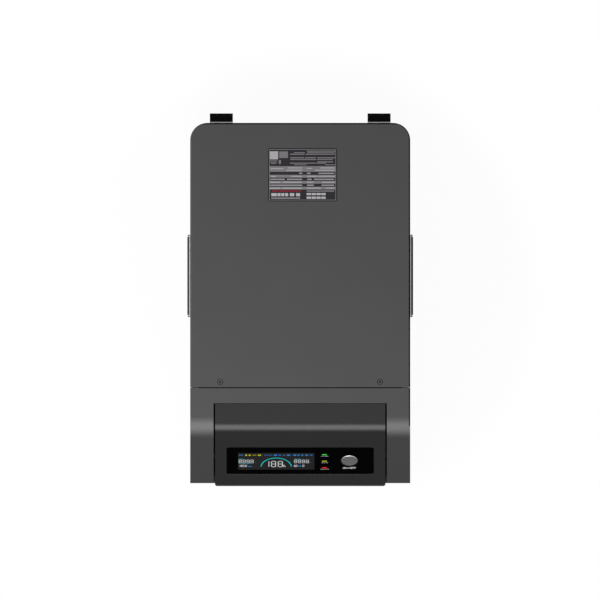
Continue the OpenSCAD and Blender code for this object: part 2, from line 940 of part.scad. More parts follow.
module socket_panel() {
    w = opening_w - 2 * fit_gap;
    color(black_plastic) placed() difference() {
        translate([-w / 2, panel_y, panel_bottom]) cube([w, wall_t, panel_top - panel_bottom]);
        for (i = [0 : 3]) {
            translate([socket_at(i)[0], panel_y - eps, socket_at(i)[1]]) facing_rear() {
                cylinder(r = outlet_r + run_gap, h = wall_t + 2 * eps);
            }
        }
        translate([car_x, panel_y - eps, socket_z]) facing_rear() {
            cylinder(r = car_r + car_wall + run_gap, h = wall_t + 2 * eps);
        }
        for (z = usb_rows) {
            for (x = usb_cols) {
                translate([x, panel_y - eps, z]) usb_cut(usb_a);
            }
            translate([usb_c_x, panel_y - eps, z]) usb_cut(usb_c);
        }
        translate([0, panel_y, panel_bottom + panel_slot_h]) facing_rear() {
            vent(panel_slots, panel_slot_h);
        }
    }
}

module usb_cut(size) {
    w = size[0] + 2 * run_gap;
    h = size[1] + 2 * run_gap;
    translate([-w / 2, 0, -h / 2]) cube([w, wall_t + 2 * eps, h]);
}

module usb_port(size) {
    w = size[0];
    h = size[1];
    difference() {
        translate([-w / 2, 0, -h / 2]) cube([w, usb_l, h]);
        translate([usb_wall - w / 2, -eps, usb_wall - h / 2]) {
            cube([w - 2 * usb_wall, usb_l - usb_wall, h - 2 * usb_wall]);
        }
    }
    translate([usb_wall * 2 - w / 2, 1, -usb_wall]) cube([w - 4 * usb_wall, usb_l - 2, 2 * usb_wall]);
}

module usb_ports() {
    color(zinc) placed() for (z = usb_rows) {
        for (x = usb_cols) {
            translate([x, panel_y, z]) usb_port(usb_a);
        }
        translate([usb_c_x, panel_y, z]) usb_port(usb_c);
    }
}

module car_socket() {
    color(black_plastic) placed() translate([car_x, panel_y, socket_z]) facing_rear() {
        difference() {
            union() {
                translate([0, 0, -car_flange_t]) cylinder(r = car_flange_r, h = car_flange_t);
                cylinder(r = car_r + car_wall, h = car_d);
            }
            translate([0, 0, -car_flange_t - eps]) {
                cylinder(r = car_r, h = car_d - car_floor + car_flange_t + eps);
            }
            cylinder(r = car_contact_r + run_gap, h = car_d + eps);
        }
    }
}

// A flat-blade mains socket, drawn with +Z pointing out of the front
module outlet() {
    hinge_z = panel_y - hinge_y;
    ear_x = ear_in + ear_t / 2;
    difference() {
        union() {
            linear_extrude(flange_t) rounded(flange_w, flange_w + 4, 4);
            translate([0, 0, -outlet_d]) cylinder(r = outlet_r, h = outlet_d + fit_gap);
            for (x = [-ear_x, ear_x]) {
                translate([x - ear_t / 2, hinge_up - ear_r, flange_t - fit_gap]) {
                    cube([ear_t, 2 * ear_r, hinge_z - flange_t + fit_gap]);
                }
                translate([x - ear_t / 2, hinge_up, hinge_z]) {
                    rotate([0, 90, 0]) cylinder(r = ear_r, h = ear_t);
                }
            }
        }
        for (x = [-1, 1]) {
            translate([x * blade_pitch / 2, blade_up, flange_t - blade_d]) {
                block([blade_w, blade_h, blade_d + eps]);
            }
        }
        // The earth contact's hole is round at the top and square at the bottom
        translate([0, blade_up - earth_drop, flange_t - blade_d]) {
            cylinder(r = earth_w / 2, h = blade_d + eps);
            translate([-earth_w / 2, -earth_w / 2, 0]) cube([earth_w, earth_w / 2, blade_d + eps]);
        }
        translate([-flange_w, hinge_up, hinge_z]) {
            rotate([0, 90, 0]) cylinder(r = lid_pin_r + run_gap, h = 2 * flange_w);
        }
    }
}

module ac_outlets() {
    color(black_plastic) placed() for (i = [0 : 3]) {
        translate([socket_at(i)[0], panel_y, socket_at(i)[1]]) facing_front() outlet();
    }
}

// Spring contacts at the bottom of each blade slot, and the 12 V socket's middle contact,
// whose face lies a little below the bore's floor
module socket_contacts() {
    h = blade_h - 2 * fit_gap;
    color(copper) placed() {
        for (i = [0 : 3], s = [-1, 1]) {
            translate([socket_at(i)[0] + s * blade_pitch / 2 - clip_t / 2, flange_y + blade_d - clip_l,
                       socket_at(i)[1] + blade_up - h / 2]) {
                cube([clip_t, clip_l, h]);
            }
        }
        translate([car_x, panel_y + car_d - car_floor + fit_gap, socket_z]) facing_rear() {
            cylinder(r = car_contact_r, h = car_contact_l);
        }
    }
}

module lid_pins() {
    l = 2 * (ear_in + ear_t);
    color(zinc) placed() for (i = [0 : 3]) {
        translate([socket_at(i)[0] - l / 2, hinge_y, socket_at(i)[1] + hinge_up]) {
            rotate([0, 90, 0]) cylinder(r = lid_pin_r, h = l);
        }
    }
}

module outlet_lid(i) {
    neck_w = 2 * (ear_in - fit_gap);
    drop = hinge_up + flange_w / 2;
    color("#2b2c2f") placed() translate([socket_at(i)[0], hinge_y, socket_at(i)[1] + hinge_up]) {
        difference() {
            union() {
                translate([0, knuckle_r, -hinge_neck]) facing_front() linear_extrude(lid_t) {
                    translate([0, -(drop - hinge_neck) / 2]) rounded(lid_w, drop - hinge_neck, lid_r);
                    translate([-neck_w / 2, -lid_r]) square([neck_w, hinge_neck + lid_r]);
                }
                translate([-neck_w / 2, 0, 0]) rotate([0, 90, 0]) cylinder(r = knuckle_r, h = neck_w);
            }
            translate([-neck_w, 0, 0]) rotate([0, 90, 0]) cylinder(r = lid_pin_r + run_gap, h = 2 * neck_w);
        }
        // Finger lip at the lower edge
        translate([-8, knuckle_r - lid_t - 1.2, -drop]) cube([16, 1.2 + fit_gap, 3]);
    }
}

module outlet_lid_1() {
    outlet_lid(0);
}

module outlet_lid_2() {
    outlet_lid(1);
}

module outlet_lid_3() {
    outlet_lid(2);
}

module outlet_lid_4() {
    outlet_lid(3);
}

// ---- Side handles ----

module handle_pan(side) {
    out_x = side_x + pan_flange_t;
    h = pocket_up + pocket_down;
    mid_z = pivot_z + (pocket_up - pocket_down) / 2;
    color(zinc) placed() one_side(side) translate([0, handle_back, 0]) difference() {
        union() {
            translate([side_x, -pan_l / 2, mid_z - h / 2 - flange_lap]) {
                cube([pan_flange_t, pan_l, h + 2 * flange_lap]);
            }
            translate([out_x - pan_d, -pocket_l / 2 - pan_t, mid_z - h / 2 - pan_t]) {
                cube([pan_d, pocket_l + 2 * pan_t, h + 2 * pan_t]);
            }
            for (y = [-1, 1]) {
                translate([out_x - fit_gap, y * (pocket_l + ear_plate_t) / 2 - ear_plate_t / 2, pivot_z]) {
                    translate([0, 0, -bail_knuckle_r]) {
                        cube([bail_out + fit_gap, ear_plate_t, 2 * bail_knuckle_r]);
                    }
                }
            }
        }
        translate([out_x - pan_d + pan_t, -pocket_l / 2, mid_z - h / 2]) cube([2 * pan_d, pocket_l, h]);
        translate([pivot_x, -pan_l, pivot_z]) facing_rear() {
            cylinder(r = handle_pin_r + run_gap, h = 2 * pan_l);
        }
        // Notches for the heads of the pin
        for (y = [-1, 1]) {
            translate([side_x - eps, y * pan_l / 2 - (y < 0 ? eps : pin_head_l),
                       pivot_z - pin_head_r - fit_gap]) {
                cube([pan_d, pin_head_l + eps, 2 * (pin_head_r + fit_gap)]);
            }
        }
    }
}

module handle_pan_left() {
    handle_pan(-1);
}

module handle_pan_right() {
    handle_pan(1);
}

module handle_pins() {
    color("#232325") placed() both_sides() translate([pivot_x, handle_back, pivot_z]) {
        translate([0, -pan_l / 2, 0]) facing_rear() cylinder(r = handle_pin_r, h = pan_l);
        for (y = [-pan_l / 2, pan_l / 2 - pin_head_l + run_gap]) {
            translate([0, y, 0]) facing_rear() cylinder(r = pin_head_r, h = pin_head_l - run_gap);
        }
    }
}

module handle_bail(side) {
    arm_t = 2 * bail_knuckle_r;
    color("#2c2d2f") placed() one_side(side) translate([pivot_x, handle_back, pivot_z]) difference() {
        union() {
            translate([0, -bail_l / 2, 0]) facing_rear() cylinder(r = bail_knuckle_r, h = bail_l);
            for (y = [-1, 1]) {
                translate([-bail_knuckle_r, y * (bail_l - arm_w) / 2 - arm_w / 2, -bail_h - bar_r]) {
                    cube([arm_t, arm_w, bail_h + bar_r]);
                }
            }
            translate([bar_x - pivot_x, arm_w / 2 - bail_l / 2, -bail_h]) facing_rear() {
                cylinder(r = bar_r, h = bail_l - arm_w);
            }
        }
        translate([0, -bail_l, 0]) facing_rear() cylinder(r = handle_pin_r + run_gap, h = 2 * bail_l);
    }
}

module handle_bail_left() {
    handle_bail(-1);
}

module handle_bail_right() {
    handle_bail(1);
}

module handle_grip(side) {
    l = bail_l - 2 * arm_w - 2 * fit_gap;
    color(black_rubber) placed() one_side(side) translate([bar_x, handle_back - l / 2, pivot_z - bail_h]) {
        facing_rear() difference() {
            cylinder(r = grip_r, h = l);
            translate([0, 0, -eps]) cylinder(r = bar_r + run_gap, h = l + 2 * eps);
        }
    }
}

module handle_grip_left() {
    handle_grip(-1);
}

module handle_grip_right() {
    handle_grip(1);
}

// ---- Rear ----

module buffer_screw_places() {
    for (x = [-1, 1], z = screw_rows) {
        translate([x * buffer_x, rear_y + plate_t + buffer_d - sink_d, buffer_z + z]) {
            facing_front() children();
        }
    }
}

module foot_screw_places() {
    for (x = [-1, 1], y = [-1, 1]) {
        translate([x * foot_x, y * foot_y, sink_d]) children();
    }
}

module housing_screws() {
    color(zinc) placed() {
        buffer_screw_places() housing_screw();
        foot_screw_places() housing_screw();
    }
}

// Hexagon socket screw along +Z, its head ending at z = 0
module housing_screw() {
    difference() {
        union() {
            translate([0, 0, -m5_head_h]) cylinder(r = m5_head_r, h = m5_head_h);
            cylinder(r = m5_r, h = m5_l);
        }
        translate([0, 0, -m5_head_h - eps]) cylinder(r = hex_r, h = eps + hex_d, $fn = 6);
    }
}

module rear_buffers() {
    color(black_rubber) placed() difference() {
        for (x = [-1, 1]) {
            translate([x * buffer_x, 0, 0]) across(buffer_w) {
                translate([rear_y + plate_t, buffer_z]) buffer_outline();
            }
        }
        buffer_screw_places() {
            cylinder(r = m5_r + run_gap, h = m5_l);
            translate([0, 0, -2 * sink_d]) cylinder(r = sink_r, h = 2 * sink_d);
        }
    }
}

module buffer_outline() {
    r = buffer_r;
    polygon([[0, 0], [buffer_d - r, 0], [buffer_d, r], [buffer_d, buffer_h - r],
             [buffer_d - r, buffer_h], [0, buffer_h]]);
    sector([buffer_d - r, r], r, -90, 0);
    sector([buffer_d - r, buffer_h - r], r, 0, 90);
}

module buffer_plates() {
    color(zinc) placed() difference() {
        for (x = [-1, 1]) {
            translate([x * buffer_x - buffer_w / 2, rear_y, buffer_z]) {
                cube([buffer_w, plate_t, buffer_h]);
            }
        }
        buffer_screw_places() cylinder(r = m5_r + run_gap, h = m5_l);
    }
}

module feet() {
    color(black_rubber) placed() foot_screw_places() translate([0, 0, -sink_d]) difference() {
        cylinder(r1 = foot_r - foot_taper, r2 = foot_r, h = foot_h);
        translate([0, 0, -eps]) cylinder(r = m5_r + run_gap, h = foot_h + 2 * eps);
        translate([0, 0, -eps]) cylinder(r = sink_r, h = sink_d + eps);
    }
}

module io_panel() {
    color(steel_grey) placed() difference() {
        union() {
            translate([-recess_w / 2 - lap_w, inside_y - sheet_t, recess_z - lap_w]) {
                cube([recess_w + 2 * lap_w, sheet_t, recess_h + 2 * lap_w]);
            }
            translate([-recess_w / 2, rear_y - recess_d - sheet_t, recess_z]) {
                cube([recess_w, recess_d - fit_gap, recess_h]);
            }
        }
        translate([sheet_t - recess_w / 2, rear_y - recess_d, recess_z + sheet_t]) {
            cube([recess_w - 2 * sheet_t, recess_d + eps, recess_h - 2 * sheet_t]);
        }
        io_cut(inlet_x, inlet_cut);
        io_cut(rocker_x, rocker_cut);
        for (s = [0, 1]) {
            io_cut(pv_x + s * pv_pitch, pv_cut);
        }
    }
}

module io_cut(x, size) {
    translate([x, io_y - sheet_t - eps, io_z]) {
        translate([-size[0] / 2 - run_gap, 0, -size[1] / 2 - run_gap]) {
            cube([size[0] + 2 * run_gap, sheet_t + 2 * eps, size[1] + 2 * run_gap]);
        }
    }
}

// Box along +Y, centred on x and z
module rear_box(w, y0, y1, h) {
    translate([-w / 2, y0, -h / 2]) cube([w, y1 - y0, h]);
}

module ac_inlet() {
    color(black_plastic) placed() translate([inlet_x, io_y, io_z]) difference() {
        union() {
            rear_box(inlet_flange[0], 0, io_flange_t, inlet_flange[1]);
            rear_box(inlet_cut[0], -inlet_d, io_flange_t, inlet_cut[1]);
        }
        rear_box(inlet_well[0], io_flange_t + io_floor - inlet_d, io_flange_t + eps, inlet_well[1]);
        inlet_pin_places() rear_box(inlet_pin[0] + run_gap, -inlet_d - eps, 0, inlet_pin[1] + run_gap);
    }
}

module inlet_pin_places() {
    for (x = [-1 : 1]) {
        translate([x * inlet_pin_pitch, 0, x == 0 ? inlet_pin_rise : -inlet_pin_rise]) children();
    }
}

module inlet_pins() {
    color(zinc) placed() translate([inlet_x, io_y, io_z]) inlet_pin_places() {
        rear_box(inlet_pin[0], -inlet_d - inlet_tail, -inlet_pin_set, inlet_pin[1]);
    }
}

module pv_inputs() {
    color("#b98a1e") placed() for (s = [0, 1]) {
        translate([pv_x + s * pv_pitch, io_y, io_z]) {
            difference() {
                union() {
                    rear_box(pv_cut[0] + 2 * pv_lip, 0, io_flange_t, pv_cut[1] + 2 * pv_lip);
                    rear_box(pv_cut[0], -pv_d, io_flange_t, pv_cut[1]);
                }
                rear_box(pv_cut[0] - 2 * pv_wall, io_floor - pv_d, io_flange_t + eps,
                         pv_cut[1] - 2 * pv_wall);
            }
            for (x = [-1, 1]) {
                translate([x * pv_pin_x, io_floor - pv_d - fit_gap, 0]) {
                    facing_rear() cylinder(r = pv_pin_r, h = pv_pin_l);
                }
            }
        }
    }
}

module main_switch() {
    color(black_plastic) placed() translate([rocker_x, io_y, io_z]) difference() {
        union() {
            rear_box(rocker_flange[0], 0, io_flange_t, rocker_flange[1]);
            rear_box(rocker_cut[0], -switch_d, io_flange_t, rocker_cut[1]);
        }
        rear_box(rocker_w + 2 * fit_gap, io_floor - switch_d, io_flange_t + eps, rocker_h + 2 * rocker_room);
        translate([-rocker_cut[0], rocker_y - io_y, 0]) rotate([0, 90, 0]) {
            cylinder(r = rocker_pin_r + run_gap, h = 2 * rocker_cut[0]);
        }
    }
}

module main_rocker() {
    pin_l = rocker_cut[0] - 2 * rocker_pin_in;
    color("#a01c18") placed() translate([rocker_x, rocker_y, io_z]) rotate([rocker_tilt, 0, 0]) {
        difference() {
            rear_box(rocker_w, -rocker_keel, rocker_t, rocker_h);
            // The face is a shallow V, so that either half can be pressed in
            for (s = [-1, 1]) {
                translate([-rocker_w, rocker_t - rocker_ridge, 0]) rotate([-s * rocker_tilt, 0, 0]) {
                    translate([0, 0, s > 0 ? 0 : -2 * rocker_h]) cube([2 * rocker_w, rocker_t, 2 * rocker_h]);
                }
            }
        }
        translate([-pin_l / 2, 0, 0]) rotate([0, 90, 0]) cylinder(r = rocker_pin_r, h = pin_l);
    }
}

// ---- Fans ----

module fan_places(side) {
    translate([side * fan_pitch / 2, inside_y - fan_t, fan_z]) facing_rear() children();
}

module fan_frames() {
    color(black_plastic) placed() for (side = [-1, 1]) {
        fan_places(side) difference() {
            translate([-fan_w / 2, -fan_w / 2, 0]) cube([fan_w, fan_w, fan_t]);
            difference() {
                translate([0, 0, -eps]) cylinder(r = fan_bore_r, h = fan_t + 2 * eps);
                cylinder(r = hub_r, h = stator_t);
                for (a = [0, 120, 240]) {
                    rotate([0, 0, a]) translate([0, -stator_arm_w / 2, 0]) {
                        cube([fan_bore_r + eps, stator_arm_w, stator_t - stator_floor]);
                    }
                }
            }
            translate([0, 0, stator_floor]) cylinder(r = shaft_r + run_gap, h = fan_t);
        }
    }
}

module fan_rotor(side) {
    z0 = stator_t + rotor_gap;
    color("#222224") placed() fan_places(side) {
        translate([0, 0, z0]) cylinder(r = hub_r, h = rotor_t);
        translate([0, 0, shaft_end]) cylinder(r = shaft_r, h = z0);
        intersection() {
            translate([0, 0, z0]) cylinder(r = blade_tip, h = rotor_t);
            for (i = [0 : blade_count - 1]) {
                rotate([0, 0, i * 360 / blade_count]) translate([hub_r - 1, 0, z0 + rotor_t / 2]) {
                    rotate([blade_pitch_deg, 0, 0]) translate([0, -blade_l / 2, -blade_t / 2]) {
                        cube([fan_w, blade_l, blade_t]);
                    }
                }
            }
        }
    }
}

module fan_rotor_left() {
    fan_rotor(-1);
}

module fan_rotor_right() {
    fan_rotor(1);
}

// ---- Battery ----

module battery_cells() {
    color("#2a55a0") placed() for (s = [-1, 1], i = [0 : cell_count - 1]) {
        translate([s * row_x, cell_y(i), pack_z]) block([cell_w, cell_t, cell_h]);
    }
}

module cell_terminals() {
    color(zinc) placed() for (s = [-1, 1], t = [-1, 1], i = [0 : cell_count - 1]) {
        translate([s * row_x + t * terminal_x, cell_y(i), pack_top]) cylinder(r = terminal_r, h = terminal_h);
    }
}

// Each bar joins one cell to the next in its row, on alternate sides
module busbars() {
    z = pack_top + terminal_h;
    color(copper) placed() {
        for (s = [-1, 1], i = [0 : cell_count - 2]) {
            translate([s * (row_x + (i % 2 == 0 ? 1 : -1) * terminal_x),
                       (cell_y(i) + cell_y(i + 1)) / 2, z]) {
                block([busbar_w, cell_t + cell_gap + busbar_w, busbar_t]);
            }
        }
        translate([0, cell_y(0), z]) {
            block([2 * (row_x - terminal_x) + busbar_w, busbar_w, busbar_t]);
        }
    }
}

module end_plates() {
    color("#9a9da1") placed() difference() {
        for (s = [-1, 1]) {
            translate([0, pack_y + s * (pack_l + end_t + cell_gap) / 2, pack_z - pack_pad]) {
                block([2 * cell_w + row_gap, end_t, cell_h]);
            }
        }
        for (z = rod_rows) {
            translate([0, pack_y - pack_l, pack_z + z]) facing_rear() {
                cylinder(r = rod_r + run_gap, h = 2 * pack_l);
            }
        }
    }
}

module tie_rods() {
    l = pack_l + 2 * (end_t + cell_gap + nut_h);
    color(zinc) placed() for (z = rod_rows) {
        translate([0, pack_y, pack_z + z]) facing_rear() {
            translate([0, 0, -l / 2]) cylinder(r = rod_r, h = l);
            for (s = [-1, 1]) {
                translate([0, 0, s * (l - nut_h - cell_gap) / 2 - nut_h / 2]) {
                    cylinder(r = nut_r, h = nut_h, $fn = 6);
                }
            }
        }
    }
}

module bms_board() {
    color(board_green) placed() {
        translate([0, pack_y, pack_top + terminal_h + busbar_t]) {
            block([bms_size[0], bms_size[1], board_t]);
        }
        for (x = [-1, 1], y = [-1, 1]) {
            translate([x * (bms_size[0] / 2 - bms_post_in[0]),
                       pack_y + y * (bms_size[1] / 2 - bms_post_in[1]), pack_top]) {
                cylinder(r = bms_post_r, h = terminal_h + busbar_t);
            }
        }
    }
}

// ---- Inverter ----

module divider_deck() {
    color("#8b8e92") placed() difference() {
        translate([-deck_x, pack_y - deck_l / 2, base_z + sheet_t]) {
            cube([2 * deck_x, deck_l, deck_z - base_z]);
        }
        translate([sheet_t - deck_x, pack_y - deck_l, base_z]) {
            cube([2 * (deck_x - sheet_t), 2 * deck_l, deck_z - base_z]);
        }
        for (s = [-1, 1]) {
            translate([s * lead_x, lead_y, deck_z - eps]) {
                cylinder(r = lead_r + lead_hole_gap, h = sheet_t + 2 * eps);
            }
        }
    }
}

module inverter_board() {
    color(board_green) placed() {
        difference() {
            translate([0, pack_y, inverter_z]) block([inverter_w, inverter_l, board_t]);
            for (s = [-1, 1]) {
                translate([s * lead_x, lead_y, deck_z]) cylinder(r = lead_r + run_gap, h = inverter_z);
            }
        }
        for (x = [-1, 1], y = [-1, 1]) {
            translate([x * (inverter_w / 2 - spacer_in), pack_y + y * (inverter_l / 2 - spacer_in),
                       deck_z + sheet_t]) {
                cylinder(r = spacer_r, h = spacer_h);
            }
        }
    }
}

module heat_sinks() {
    color("#a8abaf") placed() for (s = [-1, 1]) {
        translate([s * sink_x, pack_y - sink_ahead, inverter_z + board_t]) {
            block([sink_w, sink_l, sink_base_t]);
            for (i = [0 : fin_count - 1]) {
                translate([(i - (fin_count - 1) / 2) * (sink_w - fin_t) / (fin_count - 1), 0, 0]) {
                    block([fin_t, sink_l, sink_h]);
                }
            }
        }
    }
}

module transformer() {
    color("#a5602c") placed() {
        translate([coil_in - side_x, pack_y - pack_l / 2 - coil_ahead, base_z + sheet_t]) difference() {
            cylinder(r = coil_r, h = coil_h);
            translate([0, 0, -eps]) cylinder(r = coil_bore_r, h = coil_h + 2 * eps);
        }
    }
}

module capacitors() {
    color("#23242a") placed() for (i = [0 : cap_count - 1]) {
        translate([0, pack_y - cap_ahead + i * cap_pitch, inverter_z + board_t]) {
            cylinder(r = cap_r, h = cap_h);
        }
    }
}

// A battery lead rises from its lug on the last cell's terminal, passes through the deck
// and is soldered through the inverter board
module lead(side) {
    z = pack_top + terminal_h;
    placed() translate([side * lead_x, lead_y, z]) {
        cylinder(r = lead_r + lug_rim, h = lug_h);
        cylinder(r = lead_r, h = inverter_z + board_t + lead_end - z);
    }
}

module positive_lead() {
    color("#b01818") lead(1);
}

module negative_lead() {
    color("#151517") lead(-1);
}

module main_fuse() {
    color("#d8d4c4") placed() {
        translate([side_x - fuse_in, pack_y - pack_l / 2 - fuse_ahead, base_z + sheet_t]) {
            block(fuse_base);
            translate([0, -fuse_l / 2, fuse_z]) facing_rear() cylinder(r = fuse_r, h = fuse_l);
            for (s = [-1, 1]) {
                translate([0, s * fuse_clip_y, fuse_base[2] - fit_gap]) block(fuse_clip);
            }
        }
    }
}

base_tray();
top_cover();
front_bezel();
cover_screws();
rating_plate();
fascia();
display_window();
lcd_module();
run_light();
charge_light();
fault_light();
power_button();
button_ring();
button_switch();
control_board();
socket_panel();
ac_outlets();
socket_contacts();
lid_pins();
outlet_lid_1();
outlet_lid_2();
outlet_lid_3();
outlet_lid_4();
usb_ports();
car_socket();
handle_pan_left();
handle_pan_right();
handle_pins();
handle_bail_left();
handle_bail_right();
handle_grip_left();
handle_grip_right();
rear_buffers();
buffer_plates();
feet();
housing_screws();
io_panel();
ac_inlet();
inlet_pins();
pv_inputs();
main_switch();
main_rocker();
fan_frames();
fan_rotor_left();
fan_rotor_right();
battery_cells();
cell_terminals();
busbars();
end_plates();
tie_rods();
bms_board();
divider_deck();
inverter_board();
heat_sinks();
transformer();
capacitors();
positive_lead();
negative_lead();
main_fuse();
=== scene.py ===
from math import cos, pi, radians, sin

import bmesh
import bpy
import numpy as np
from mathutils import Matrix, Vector


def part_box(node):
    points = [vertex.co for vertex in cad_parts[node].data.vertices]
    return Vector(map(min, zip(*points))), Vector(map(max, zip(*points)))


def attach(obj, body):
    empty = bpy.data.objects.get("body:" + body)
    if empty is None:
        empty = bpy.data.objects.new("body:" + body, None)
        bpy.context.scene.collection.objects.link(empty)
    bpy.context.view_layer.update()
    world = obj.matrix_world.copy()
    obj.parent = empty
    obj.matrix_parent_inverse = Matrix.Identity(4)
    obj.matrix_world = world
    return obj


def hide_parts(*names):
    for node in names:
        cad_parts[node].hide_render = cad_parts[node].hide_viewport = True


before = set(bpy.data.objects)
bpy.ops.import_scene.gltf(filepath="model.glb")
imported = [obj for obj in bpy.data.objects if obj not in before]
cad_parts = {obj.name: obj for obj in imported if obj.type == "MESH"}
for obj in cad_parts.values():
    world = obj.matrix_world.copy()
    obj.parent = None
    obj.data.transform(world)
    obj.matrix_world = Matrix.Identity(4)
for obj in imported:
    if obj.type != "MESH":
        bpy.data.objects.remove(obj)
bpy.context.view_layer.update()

MM = 0.001

# ---- Studio ----
# A pale floor in a white studio, seen straight from above through a long lens. A large
# softbox ahead of the unit draws the bright bands along the bends of its front, and a
# smaller one on the left makes that side a little lighter than the right.
PICTURE_W = 0.8727
PICTURE_MIDDLE = (-0.0003, -0.0003)
CAMERA_Z = 3.0
FLOOR_R = 0.46
GLOW_FROM = 0.32             # distance from the middle at which the floor starts to glow more
GLOW = 0.92
GLOW_STRENGTH = 1.04
AMBIENT = 0.15
HORIZON, HORIZON_LEVEL = (-0.1, 0.3), 0.25
CROWN, CROWN_LEVEL = (0.7, 1.0), 0.72
FLAG_WAY = (0.75, 0.66, 0)
FLAG, FLAG_LEVEL = (0.05, 0.4), 0.3


def linear(colour):
    """The sRGB curve from a hex colour to linear light: c / 12.92 when dark, and otherwise
    ((c + 0.055) / 1.055) ^ 2.4."""
    c = np.array([int(colour[i:i + 2], 16) for i in (1, 3, 5)]) / 255
    return (*np.where(c <= 0.04045, c / 12.92, ((c + 0.055) / 1.055) ** 2.4), 1.0)


def add(tree, kind, inputs=None, **settings):
    """Adds one node with its settings, and links each input that is a socket or sets it to its value."""
    node = tree.nodes.new("ShaderNode" + kind)
    for key, value in settings.items():
        setattr(node, key, value)
    for key, value in (inputs or {}).items():
        if isinstance(value, bpy.types.NodeSocket):
            tree.links.new(value, node.inputs[key])
        else:
            node.inputs[key].default_value = value
    return node


def seen_directly(tree):
    """1 for the rays that show a background: the camera's, and those off gloss or through glass."""
    path = add(tree, "LightPath").outputs
    seen = add(tree, "Math", {0: path["Is Camera Ray"], 1: path["Is Glossy Ray"]}, operation="MAXIMUM")
    seen = add(tree, "Math", {0: seen.outputs[0], 1: path["Is Transmission Ray"]}, operation="MAXIMUM")
    return seen.outputs[0]


def studio_lamp(name, place, aim, size, power):
    """A rectangular area lamp of size (across, along) at place, facing aim."""
    lamp = bpy.data.lights.new(name, "AREA")
    lamp.shape = "RECTANGLE"
    lamp.size, lamp.size_y = size
    lamp.energy = power
    stand = bpy.data.objects.new(name, lamp)
    bpy.context.scene.collection.objects.link(stand)
    stand.location = place
    way = Vector(aim) - Vector(place)
    stand.rotation_euler = way.to_track_quat("-Z", "Y").to_euler()
    return stand


# Each lamp has its place, the point it faces, its size, all in metres, and its power in watts
studio_lamp("front_softbox", (-0.28, -1.16, 1.82), (-0.04, -0.17, 0.38), (1.6, 1.4), 21.2)
studio_lamp("front_fill", (0, -1.75, 1.12), (0, -0.17, 0.38), (1.6, 0.55), 3)
studio_lamp("left_softbox", (-1.3, 0.25, 1.6), (0, 0, 0.3), (1.2, 1.2), 6.3)
studio_lamp("rear_softbox", (0, 1.9, 0.6), (0, 0.26, 0.2), (1.2, 0.8), 2.6)
studio_lamp("right_softbox", (1.3, 0.9, 1.4), (0, 0, 0.3), (1.2, 1.2), 0.6)

# Straight to the camera the studio is white all round. Off gloss and through glass it is white
# too, but falls to HORIZON_LEVEL below the horizon, to CROWN_LEVEL overhead, and to FLAG_LEVEL
# behind a flag that stands along FLAG_WAY, at the rear and the right.
world = bpy.data.worlds.new("white_studio")
bpy.context.scene.world = world
world.use_nodes = True
tree = world.node_tree
tree.nodes.clear()
path = add(tree, "LightPath").outputs
way = add(tree, "TexCoord").outputs["Generated"]
height = add(tree, "SeparateXYZ", {0: way}).outputs["Z"]
level = add(tree, "MapRange", {"Value": height, "From Min": HORIZON[0], "From Max": HORIZON[1],
                               "To Min": HORIZON_LEVEL})
crown = add(tree, "MapRange", {"Value": height, "From Min": CROWN[0], "From Max": CROWN[1], "To Min": 1.0,
                               "To Max": CROWN_LEVEL})
level = add(tree, "Math", {0: level.outputs[0], 1: crown.outputs[0]}, operation="MULTIPLY").outputs[0]
aside = add(tree, "VectorMath", {0: way, 1: FLAG_WAY}, operation="DOT_PRODUCT").outputs["Value"]
flag = add(tree, "MapRange", {"Value": aside, "From Min": FLAG[0], "From Max": FLAG[1], "To Min": 1.0,
                              "To Max": FLAG_LEVEL})
backdrop = add(tree, "Math", {0: level, 1: flag.outputs[0]}, operation="MULTIPLY")
backdrop = add(tree, "Math", {0: path["Is Camera Ray"], 1: backdrop.outputs[0]}, operation="MAXIMUM")
ambient = add(tree, "Math", {0: backdrop.outputs[0], 1: AMBIENT}, operation="MULTIPLY")
dim = add(tree, "Background", {"Color": linear("#ffffff"), "Strength": ambient.outputs[0]})
white = add(tree, "Background", {"Color": linear("#ffffff"), "Strength": backdrop.outputs[0]})
both = add(tree, "MixShader", {0: seen_directly(tree), 1: dim.outputs[0], 2: white.outputs[0]})
add(tree, "OutputWorld", {"Surface": both.outputs[0]})

# The paper glows a little where it is seen directly, more towards its rim, and keeps the shadow.
paper = bpy.data.materials.new("pale_studio_paper")
paper.use_nodes = True
tree = paper.node_tree
tree.nodes.clear()
matt = add(tree, "BsdfDiffuse", {"Color": linear("#f2f2f2")})
glow = add(tree, "Emission", {"Color": linear("#ffffff"), "Strength": GLOW_STRENGTH})
out = add(tree, "VectorMath", {0: add(tree, "TexCoord").outputs["Object"]}, operation="LENGTH")
share = add(tree, "MapRange", {"Value": out.outputs["Value"], "From Min": GLOW_FROM, "From Max": FLOOR_R,
                               "To Min": GLOW})
share = add(tree, "Math", {0: seen_directly(tree), 1: share.outputs[0]}, operation="MULTIPLY")
both = add(tree, "MixShader", {0: share.outputs[0], 1: matt.outputs[0], 2: glow.outputs[0]})
add(tree, "OutputMaterial", {"Surface": both.outputs[0]})
turn = np.linspace(0, 2 * pi, 96, endpoint=False)
floor_mesh = bpy.data.meshes.new("studio_floor")
floor_mesh.from_pydata(np.stack([FLOOR_R * np.cos(turn), FLOOR_R * np.sin(turn), 0 * turn], -1).tolist(), [],
                       [list(range(len(turn)))])
floor_mesh.materials.append(paper)
floor = bpy.data.objects.new("studio_floor", floor_mesh)
bpy.context.scene.collection.objects.link(floor)

camera = bpy.data.objects.new("camera", bpy.data.cameras.new("camera"))
bpy.context.scene.collection.objects.link(camera)
camera.data.type = "ORTHO"
camera.data.ortho_scale = PICTURE_W
camera.location = (*PICTURE_MIDDLE, CAMERA_Z)
bpy.context.scene.camera = camera
bpy.context.scene.view_settings.view_transform = "Standard"

